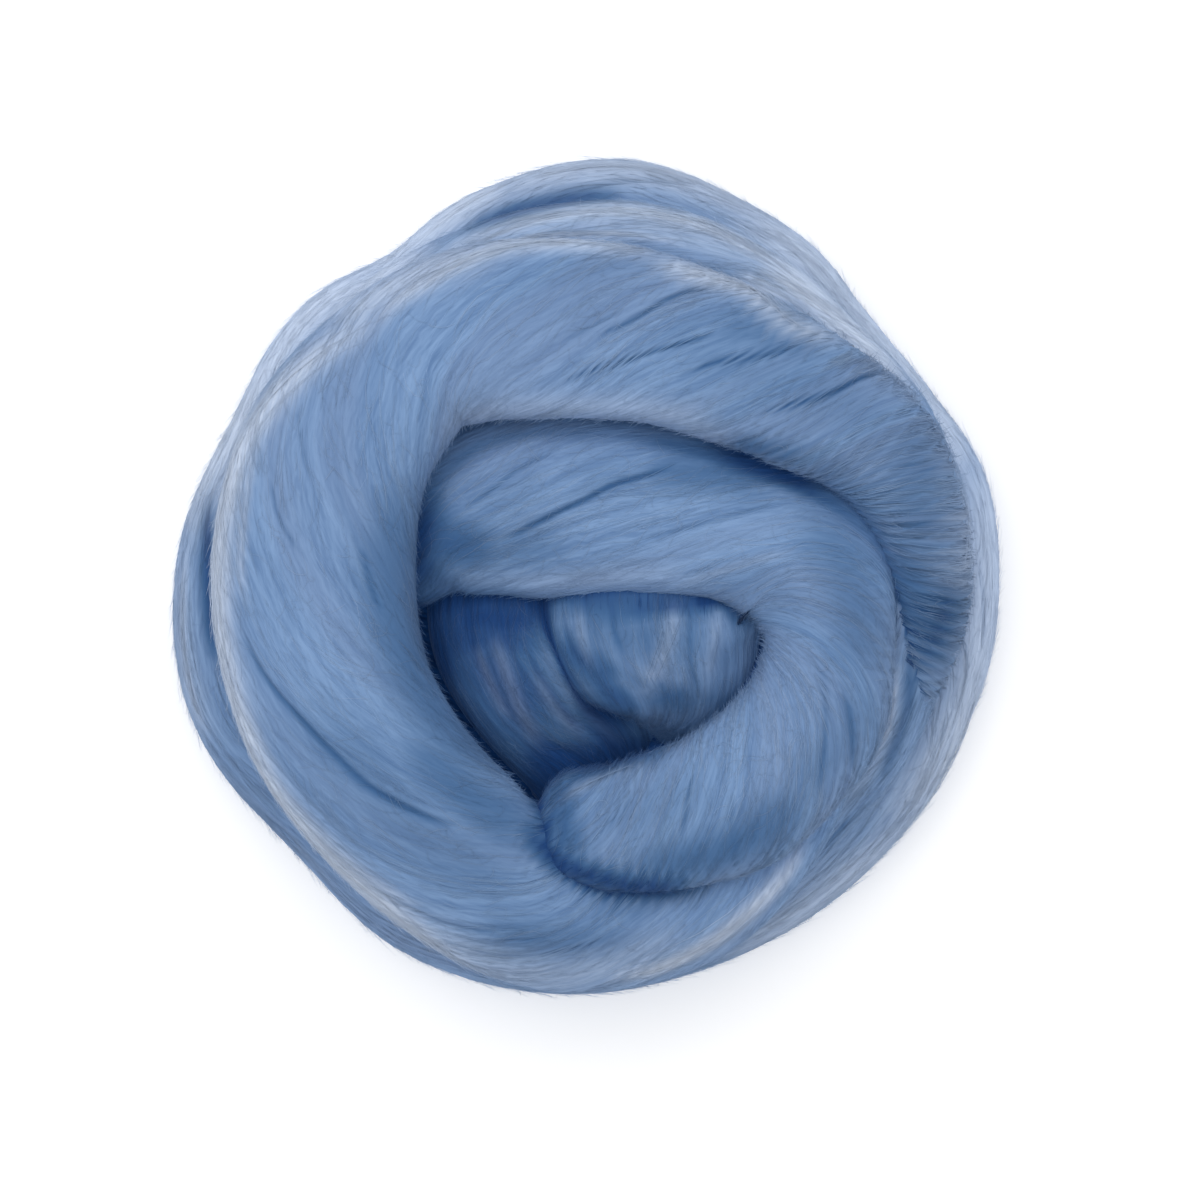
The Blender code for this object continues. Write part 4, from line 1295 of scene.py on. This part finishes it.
def by_vertex(values):
    """Values by fibre and point, repeated round each ring of a tube, with the two tips last."""
    inner = np.repeat(values[:, 1:-1], FIBRE_SIDES, axis=1)
    return np.concatenate([inner, values[:, :1], values[:, -1:]], axis=1)


def fibre_group(band, rng, batches):
    """The arrays of the tubes of fibres that have the same number of points."""
    turn, along, lift, width, paler, own = (np.concatenate(part) for part in zip(*batches))
    along = np.clip(along, END_MM, band.length - END_MM)
    skin = band.skin(turn, along, lift)
    steps = np.linalg.norm(np.diff(skin[0], axis=1), axis=2).max(axis=1)
    lines, normals, deep, pale, thin, turn, along, width, paler, own = (
        part[steps < LONGEST_STEP_MM] for part in (*skin, turn, along, width, paler, own)
    )
    points, loops, sizes = fibre_tubes(lines, normals, width / 2)
    own = own[:, None, None]
    round_way = unit(points - by_vertex(lines))
    shading = unit(by_vertex(normals) * (1 - own) + round_way * own)
    tone = np.repeat(rng.uniform(-1, 1, len(lines))[:, None], points.shape[1], axis=1)
    pale = np.maximum(pale, paler[:, None] * (1 - PALENESS_LOST * deep))
    place = fibre_place(turn, along, band.girth.mean())
    fields = {"fibre": by_vertex(place).reshape(-1, 3)}
    for field, values in (("deep", deep), ("pale", pale), ("thin", thin)):
        fields[field] = by_vertex(values).ravel()
    fields["tone"] = tone.ravel()
    return points, loops, sizes, shading, fields


def build_fibres(name):
    """The separate fibres that lie on one lap, as one piece."""
    wool = bpy.context.scene.roving_wool
    band = all_bands()[name]
    rng = np.random.default_rng(wool.seed + FIBRE_SEED + list(LAP_MESH).index(name))
    count, fuzz = (number * wool.fibre_share for number in LAP_MESH[name][2:])
    batches = [lay_kind(band, rng, int(count * kind[0]), kind) for kind in FIBRE_KINDS]
    batches += [lay_tress(band, rng, *row) for row in STRANDS.get(name, ())]
    batches += [lay_fringe(band, rng, *row) for row in FRINGE.get(name, ())]
    groups = [fibre_group(band, rng, batches)]
    groups.append(fibre_group(band, rng, [lay_fuzz(band, rng, int(fuzz))]))
    points, loops, sizes, shading, fields = zip(*groups)
    uv, shifted = [], []
    fibres = vertices = 0
    for part, part_loops in zip(points, loops):
        inner_rows = (part.shape[1] - 2) // FIBRE_SIDES
        uv.append(fibre_uv(fibres, len(part), sum(map(len, points)), inner_rows))
        shifted.append(part_loops + vertices)
        fibres += len(part)
        vertices += part.shape[0] * part.shape[1]
    return mesh_piece(
        name + "_fibres",
        np.concatenate([part.reshape(-1, 3) for part in points]),
        np.concatenate(shifted),
        np.concatenate(sizes),
        np.concatenate(uv),
        {key: np.concatenate([part[key] for part in fields]) for key in fields[0]},
        fibre_material(),
        np.concatenate([part.reshape(-1, 3) for part in shading]),
    )


# Materials

# The noise that the streaks are cut from, as (scale, detail, roughness). Scales are per millimetre.
CRIMP_NOISE = (0.30, 1.0, 0.5)
STREAK_NOISE = (2.0, 0.6)  # detail and roughness, its scale being an input
DRIFT_NOISE = (0.09, 1.0, 0.6)
# Where a noise starts to tell and where it tells fully
FINE_RANGE = (0.34, 0.66)
BROAD_RANGE = (0.32, 0.70)
DRIFT_RANGE = (0.42, 0.66)
MOST_DRIFT = 0.35
# A lap's light and dark wool: the share of its fine streaks, or of a fibre's tone about a middle
FINE_SHARE = 0.5
TONE_SHARE = 0.25
TONE_MIDDLE = 0.5
BROAD_SHARE = 0.5
# How deep the painted shade is where the colour starts to change and where it has changed: to the
# shaded colour, to the deepest painted shade and to the painted glow of light through deep wool
SHADED_RANGE = (0.0, 0.62)
DEEPEST_RANGE = (0.45, 1.0)
THROUGH_RANGE = (0.25, 1.0)
# How far fine streaks show in the painted glow and in the painted highlights: (change, least)
STREAKS_IN_GLOW = (0.7, 0.3)
STREAKS_IN_PALE = (0.35, 0.72)
WOOL_ROUGHNESS = 0.85
WOOL_SPECULAR = 0.15
BUMP_STRENGTH = 0.18
BUMP_HEIGHT = 0.15 * MM


class Nodes:
    """Short ways to add nodes to a tree and link them."""

    def __init__(self, tree):
        self.tree = tree

    def add(self, kind, inputs=(), **settings):
        """A node with its settings, and with its inputs fed by their names or numbers."""
        node = self.tree.nodes.new(kind)
        for key, value in settings.items():
            setattr(node, key, value)
        for name, value in dict(inputs).items():
            self.feed(value, node.inputs[name])
        return node

    def feed(self, value, socket):
        if isinstance(value, bpy.types.NodeSocket):
            self.tree.links.new(value, socket)
        else:
            socket.default_value = value

    def math(self, operation, *values):
        return self.add("ShaderNodeMath", enumerate(values), operation=operation).outputs[0]

    def vector(self, operation, inputs):
        return self.add("ShaderNodeVectorMath", inputs, operation=operation).outputs[0]

    def noise(self, vector, scale, detail, roughness):
        inputs = {"Vector": vector, "Scale": scale, "Detail": detail, "Roughness": roughness}
        return self.add("ShaderNodeTexNoise", inputs, noise_dimensions="3D").outputs

    def blend(self, share, first, second):
        node = self.add("ShaderNodeMix", data_type="RGBA", clamp_factor=True)
        for name, value in (("Factor", share), ("A", first), ("B", second)):
            sockets = [s for s in node.inputs if s.name == name and s.enabled]
            self.feed(value, sockets[0])
        return [s for s in node.outputs if s.enabled][0]

    def spread(self, value, low, high, to_low=0.0, to_high=1.0):
        values = enumerate((value, low, high, to_low, to_high))
        return self.add("ShaderNodeMapRange", values, interpolation_type="SMOOTHSTEP").outputs[0]

    def attribute(self, name, output="Fac"):
        node = self.add("ShaderNodeAttribute", attribute_type="GEOMETRY", attribute_name=name)
        return node.outputs[output]

    def surface(self, inputs):
        """The material's one shader, joined to its output."""
        shader = self.add("ShaderNodeBsdfPrincipled", inputs)
        self.add("ShaderNodeOutputMaterial", {"Surface": shader.outputs[0]})


def rgba(colour):
    return (*colour, 1.0)


def new_group(name, inputs, outputs):
    """A node group with named sockets: its tree's short ways, and its two ends."""
    tree = bpy.data.node_groups.new(name, "ShaderNodeTree")
    for way, sockets in (("INPUT", inputs), ("OUTPUT", outputs)):
        for socket, kind, *default in sockets:
            made = tree.interface.new_socket(socket, in_out=way, socket_type="NodeSocket" + kind)
            if default:
                made.default_value = default[0]
    nodes = Nodes(tree)
    return nodes, nodes.add("NodeGroupInput").outputs, nodes.add("NodeGroupOutput").inputs


@functools.lru_cache(maxsize=None)
def streak_group():
    """Fine and broad streaks of combed wool, drawn out along the fibres, in two crossing layers."""
    nodes, given, out = new_group(
        "combed_fibre_streaks",
        (
            ("Fibre", "Vector"),
            ("Stretch", "Float", 0.05),
            ("Fine", "Float", 2.1),
            ("Broad", "Float", 0.6),
            ("Crossing", "Float", 0.02),
            ("Crimp", "Float", 0.9),
        ),
        (("Fine Streaks", "Float"), ("Broad Streaks", "Float"), ("Drift", "Float")),
    )
    waves = nodes.noise(given["Fibre"], *CRIMP_NOISE)["Color"]
    offset = nodes.vector("SUBTRACT", {0: waves, 1: (0.5, 0.5, 0.5)})
    sway = nodes.vector("SCALE", {0: offset, "Scale": given["Crimp"]})
    crimped = nodes.vector("ADD", {0: given["Fibre"], 1: sway})
    x, y, z = nodes.add("ShaderNodeSeparateXYZ", {0: crimped}).outputs
    short = nodes.math("MULTIPLY", z, given["Stretch"])
    drawn = nodes.add("ShaderNodeCombineXYZ", {"X": x, "Y": y, "Z": short}).outputs[0]
    angle = nodes.math("MULTIPLY", z, given["Crossing"])
    turned = nodes.add(
        "ShaderNodeVectorRotate", {"Vector": drawn, "Angle": angle}, rotation_type="Z_AXIS"
    ).outputs[0]
    combed, crossed = (nodes.noise(way, given["Fine"], *STREAK_NOISE)[0] for way in (drawn, turned))
    both = nodes.math("MULTIPLY", nodes.math("ADD", combed, crossed), 0.5)
    nodes.feed(both, out["Fine Streaks"])
    nodes.feed(nodes.noise(drawn, given["Broad"], *STREAK_NOISE)[0], out["Broad Streaks"])
    nodes.feed(nodes.noise(drawn, *DRIFT_NOISE)[0], out["Drift"])
    return nodes.tree


@functools.lru_cache(maxsize=None)
def painted_light_group():
    """Painted shade where other wool shuts it off, painted highlights and a painted glow of light."""
    colours = ("Wool", "Shaded", "Deepest", "Pale Wool", "Through", "Through Thin")
    shares = ("Streaks", "Deep", "Pale", "Thin")
    nodes, given, out = new_group(
        "painted_shade_and_light",
        (*((name, "Color") for name in colours), *((name, "Float") for name in shares)),
        (("Color", "Color"), ("Glow", "Color")),
    )
    deep = given["Deep"]
    colour = nodes.blend(nodes.spread(deep, *SHADED_RANGE), given["Wool"], given["Shaded"])
    colour = nodes.blend(nodes.spread(deep, *DEEPEST_RANGE), colour, given["Deepest"])
    colour = nodes.blend(given["Pale"], colour, given["Pale Wool"])
    nodes.feed(colour, out["Color"])
    streaky = nodes.math("MULTIPLY_ADD", given["Streaks"], *STREAKS_IN_GLOW)
    share = nodes.math("MULTIPLY", nodes.spread(deep, *THROUGH_RANGE), streaky)
    glow = nodes.blend(share, (0, 0, 0, 1), given["Through"])
    share = nodes.math("MULTIPLY", given["Thin"], streaky)
    nodes.feed(nodes.blend(share, glow, given["Through Thin"]), out["Glow"])
    return nodes.tree


def new_material(name):
    material = bpy.data.materials.new(name)
    material.use_nodes = True
    material.node_tree.nodes.clear()
    return material, Nodes(material.node_tree)


def wool_surface(name, tone_field, bump, sheen):
    """Wool: its streaks, its painted shade, highlight and glow, and a matt surface with soft sheen."""
    wool = bpy.context.scene.roving_wool
    material, nodes = new_material(name)
    streaks = nodes.add(
        "ShaderNodeGroup", {"Fibre": nodes.attribute("fibre", "Vector")}, node_tree=streak_group()
    ).outputs
    fine = nodes.spread(streaks["Fine Streaks"], *FINE_RANGE)
    broad = nodes.spread(streaks["Broad Streaks"], *BROAD_RANGE)
    if tone_field:
        tone = nodes.attribute(tone_field)
        first = nodes.math("MULTIPLY_ADD", tone, TONE_SHARE, TONE_MIDDLE)
    else:
        first = nodes.math("MULTIPLY", fine, FINE_SHARE)
    light = nodes.math("MULTIPLY_ADD", broad, BROAD_SHARE, first)
    colour = nodes.blend(light, rgba(wool.shade_streak), rgba(wool.light_streak))
    drift = nodes.spread(streaks["Drift"], *DRIFT_RANGE, 0.0, MOST_DRIFT)
    colour = nodes.blend(drift, colour, rgba(wool.drift_colour))
    streaky = nodes.math("MULTIPLY_ADD", fine, *STREAKS_IN_PALE)
    laid = nodes.add(
        "ShaderNodeGroup",
        {
            "Wool": colour,
            # painted shade, painted highlight and painted glow colours follow
            "Shaded": rgba(wool.shaded_colour),
            "Deepest": rgba(wool.deepest_shade_colour),
            "Pale Wool": rgba(wool.pale_and_highlight_colour),
            "Through": rgba(wool.glow_through_deep_wool),
            "Through Thin": rgba(wool.glow_through_thin_wool),
            "Streaks": fine,
            "Deep": nodes.attribute("deep"),
            "Pale": nodes.math("MULTIPLY", nodes.attribute("pale"), streaky),
            "Thin": nodes.attribute("thin"),
        },
        node_tree=painted_light_group(),
    ).outputs
    inputs = {
        "Base Color": laid["Color"],
        "Roughness": WOOL_ROUGHNESS,
        "Specular IOR Level": WOOL_SPECULAR,
        "Sheen Weight": sheen,
        "Sheen Roughness": wool.sheen_roughness,
        "Sheen Tint": rgba(wool.sheen_colour),
        # painted glow: emission that stands for light through the wool, which is no lamp
        "Emission Color": laid["Glow"],
        "Emission Strength": 1.0,
    }
    if bump:
        ridges = {"Strength": bump, "Distance": BUMP_HEIGHT, "Height": fine}
        inputs["Normal"] = nodes.add("ShaderNodeBump", ridges).outputs[0]
    nodes.surface(inputs)
    material.cycles.emission_sampling = "NONE"
    return material


@functools.lru_cache(maxsize=None)
def wool_material():
    sheen = bpy.context.scene.roving_wool.sheen
    return wool_surface("combed_blue_wool", None, BUMP_STRENGTH, sheen)


@functools.lru_cache(maxsize=None)
def fibre_material():
    sheen = bpy.context.scene.roving_wool.fibre_sheen
    return wool_surface("loose_blue_fibres", "tone", 0.0, sheen)


# The studio

VIEW_WIDTH_MM = 180.0  # across the picture, at the height where the nest is widest
VIEW_HEIGHT_MM = 20.0
PICTURE_MIDDLE_MM = (1.8, -3.5)  # from the nest's middle
CAMERA_DISTANCE = 3.0
SENSOR_MM = 36.0
CLIP_END = 20.0
FLOOR_RADIUS = 4.0
FLOOR_CORNERS = 96
FLOOR_ROUGHNESS = 0.9
FLOOR_SPECULAR = 0.1
KEY_PLACE = (-0.20, 0.40, 1.57)
KEY_TARGET = (0, 0, 0.03)
KEY_SIZE = 1.7


def build_key(power, colour):
    light = bpy.data.lights.new("key", "AREA")
    light.shape = "DISK"
    light.size = KEY_SIZE
    light.energy = power
    light.color = colour
    lamp = bpy.data.objects.new("key", light)
    lamp.location = KEY_PLACE
    way = Vector(KEY_TARGET) - Vector(KEY_PLACE)
    lamp.rotation_euler = way.to_track_quat("-Z", "Y").to_euler()
    lamp.visible_camera = False
    bpy.context.scene.collection.objects.link(lamp)


def build_floor(colour, glow):
    mesh = bpy.data.meshes.new("floor")
    turns = [i * 2 * math.pi / FLOOR_CORNERS for i in range(FLOOR_CORNERS)]
    corners = [(FLOOR_RADIUS * math.cos(turn), FLOOR_RADIUS * math.sin(turn), 0) for turn in turns]
    mesh.from_pydata(corners, [], [list(range(FLOOR_CORNERS))])
    material, nodes = new_material("pale_floor")
    nodes.surface(
        {
            "Base Color": rgba(colour),
            "Roughness": FLOOR_ROUGHNESS,
            "Specular IOR Level": FLOOR_SPECULAR,
            "Emission Color": (1.0, 1.0, 1.0, 1.0),
            "Emission Strength": glow,
        }
    )
    mesh.materials.append(material)
    floor = bpy.data.objects.new("floor", mesh)
    bpy.context.scene.collection.objects.link(floor)


def build_camera():
    camera = bpy.data.cameras.new("camera")
    camera.type = "PERSP"
    camera.sensor_width = SENSOR_MM
    camera.lens = SENSOR_MM * (CAMERA_DISTANCE - VIEW_HEIGHT_MM * MM) / (VIEW_WIDTH_MM * MM)
    camera.clip_end = CLIP_END
    holder = bpy.data.objects.new("camera", camera)
    holder.location = (PICTURE_MIDDLE_MM[0] * MM, PICTURE_MIDDLE_MM[1] * MM, CAMERA_DISTANCE)
    bpy.context.scene.collection.objects.link(holder)
    bpy.context.scene.camera = holder


def build_studio():
    """The floor, the soft light and the camera straight above."""
    scene = bpy.context.scene
    studio = scene.roving_studio
    world = bpy.data.worlds.new("studio")
    world.use_nodes = True
    sky = world.node_tree.nodes["Background"]
    sky.inputs["Color"].default_value = rgba(studio.sky_colour)
    sky.inputs["Strength"].default_value = studio.sky_strength
    scene.world = world
    build_key(studio.key_power, studio.key_colour)
    build_floor(studio.floor_colour, studio.floor_glow)
    build_camera()
    scene.view_settings.view_transform = "Standard"
    scene.view_settings.look = "None"
    scene.view_settings.exposure = 0.0
    scene.view_settings.gamma = 1.0


# Settings, operators and panel


def colour_property(name, description, default):
    return FloatVectorProperty(
        name=name, description=description, default=default, subtype="COLOR", min=0.0, max=1.0
    )


def amount_property(name, description, default, most=1.0, **more):
    return FloatProperty(
        name=name, description=description, default=default, min=0.0, max=most, **more
    )


class WoolSettings(bpy.types.PropertyGroup):
    """The wool's colours with their painted shade, highlight and glow, its fibres and its sheen"""

    light_streak: colour_property("Light Streak", "Palest wool on open faces", (0.222, 0.355, 0.592))
    shade_streak: colour_property("Shade Streak", "Darker streaks on open faces", (0.112, 0.205, 0.395))
    drift_colour: colour_property("Drift", "Slow drifts of greyer wool", (0.180, 0.255, 0.43))
    # Painted shade, highlight and glow: the shaded, deepest, pale and two through colours below
    shaded_colour: colour_property("Shaded", "Wool partly shut off by laps", (0.055, 0.135, 0.29))
    deepest_shade_colour: colour_property("Deepest", "Wool deep between laps", (0.008, 0.040, 0.15))
    pale_and_highlight_colour: colour_property("Pale", "Tresses that catch the light", (0.56, 0.65, 0.81))
    glow_through_deep_wool: colour_property("Through", "Light through deep wool", (0.002, 0.012, 0.042))
    glow_through_thin_wool: colour_property("Through Thin", "Light through thin wool", (0.018, 0.044, 0.095))
    sheen_colour: colour_property("Sheen Tint", "Tint of the soft sheen", (0.50, 0.68, 1.0))
    sheen: amount_property("Sheen", "Strength of the laps' soft sheen", 0.25)
    fibre_sheen: amount_property("Fibre Sheen", "Strength of the loose fibres' sheen", 0.1)
    sheen_roughness: amount_property("Sheen Roughness", "How far the sheen spreads", 0.38)
    fibre_share: amount_property("Fibres", "Share of the usual number of fibres", 1.0, 1.5)
    seed: IntProperty(name="Seed", description="Start of every random draw", default=41)


class StudioSettings(bpy.types.PropertyGroup):
    """The floor and the light"""

    floor_colour: colour_property("Floor", "Colour of the floor", (0.80, 0.80, 0.80))
    floor_glow: amount_property("Floor Glow", "Light that the floor gives by itself", 0.40)
    sky_colour: colour_property("Sky", "Colour of the light from all round", (1.0, 1.0, 1.0))
    sky_strength: amount_property("Sky Strength", "Light from all round", 0.55, 10.0)
    key_colour: colour_property("Key", "Colour of the key light", (1.0, 0.99, 0.97))
    key_power: amount_property("Key Power", "Power of the key light", 17.2, 500.0, unit="POWER")


class LapOperator:
    """Shared by the operators that lay laps."""

    bl_options = {"REGISTER", "UNDO"}
    laps = ()

    def execute(self, context):
        for name in self.laps:
            build_band(name)
        return {"FINISHED"}


class ROVING_OT_base_coil(LapOperator, bpy.types.Operator):
    """Lays the flat spiral that the nest rests on"""

    bl_idname = "roving.base_coil"
    bl_label = "Base Coil"
    laps = ("base_coil",)


class ROVING_OT_packed_core(LapOperator, bpy.types.Operator):
    """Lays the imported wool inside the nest"""

    bl_idname = "roving.packed_core"
    bl_label = "Packed Core"
    laps = ("packed_core",)


class ROVING_OT_lower_lap(LapOperator, bpy.types.Operator):
    """Lays the widest lap, round the foot of the nest"""

    bl_idname = "roving.lower_lap"
    bl_label = "Lower Lap"
    laps = ("lower_lap",)


class ROVING_OT_middle_lap(LapOperator, bpy.types.Operator):
    """Lays the lap above the lowest one"""

    bl_idname = "roving.middle_lap"
    bl_label = "Middle Lap"
    laps = ("middle_lap",)


class ROVING_OT_top_lap(LapOperator, bpy.types.Operator):
    """Lays the wide lap on top, which dives down at the right"""

    bl_idname = "roving.top_lap"
    bl_label = "Top Lap"
    laps = ("top_lap",)


class ROVING_OT_inner_hook(LapOperator, bpy.types.Operator):
    """Lays the inner hook with its tucked end"""

    bl_idname = "roving.inner_hook"
    bl_label = "Inner Hook"
    laps = ("inner_hook",)


class ROVING_OT_heart(LapOperator, bpy.types.Operator):
    """Lays the two folds that show in the hollow"""

    bl_idname = "roving.heart"
    bl_label = "Heart Folds"
    laps = ("heart_fold", "heart_tuck")


class ROVING_OT_fibres(bpy.types.Operator):
    """Lays the separate fibres over every lap"""

    bl_idname = "roving.fibres"
    bl_label = "Separate Fibres"
    bl_options = {"REGISTER", "UNDO"}

    def execute(self, context):
        for name, (_, _, count, _) in LAP_MESH.items():
            if count:
                build_fibres(name)
        return {"FINISHED"}


class ROVING_OT_studio(bpy.types.Operator):
    """Sets the floor, the soft light and the camera"""

    bl_idname = "roving.studio"
    bl_label = "Studio"
    bl_options = {"REGISTER", "UNDO"}

    def execute(self, context):
        build_studio()
        return {"FINISHED"}


OPERATORS = (
    ROVING_OT_studio,
    ROVING_OT_base_coil,
    ROVING_OT_packed_core,
    ROVING_OT_lower_lap,
    ROVING_OT_middle_lap,
    ROVING_OT_top_lap,
    ROVING_OT_inner_hook,
    ROVING_OT_heart,
    ROVING_OT_fibres,
)


class ROVING_PT_nest(bpy.types.Panel):
    """The steps that build the nest, in order"""

    bl_idname = "ROVING_PT_nest"
    bl_label = "Wool Roving Nest"
    bl_space_type = "VIEW_3D"
    bl_region_type = "UI"
    bl_category = "Roving"

    def draw(self, context):
        for group in (context.scene.roving_wool, context.scene.roving_studio):
            box = self.layout.box()
            for name in group.__annotations__:
                box.prop(group, name)
        for operator in OPERATORS:
            self.layout.operator(operator.bl_idname)


CLASSES = (WoolSettings, StudioSettings, *OPERATORS, ROVING_PT_nest)


def register():
    for cls in CLASSES:
        bpy.utils.register_class(cls)
    bpy.types.Scene.roving_wool = PointerProperty(type=WoolSettings)
    bpy.types.Scene.roving_studio = PointerProperty(type=StudioSettings)


def unregister():
    del bpy.types.Scene.roving_studio
    del bpy.types.Scene.roving_wool
    for cls in reversed(CLASSES):
        bpy.utils.unregister_class(cls)


def main():
    register()
    for operator in OPERATORS:
        group, name = operator.bl_idname.split(".")
        if getattr(getattr(bpy.ops, group), name)() != {"FINISHED"}:
            raise RuntimeError(f"{operator.bl_idname} didn't finish")


if __name__ == "__main__":
    main()
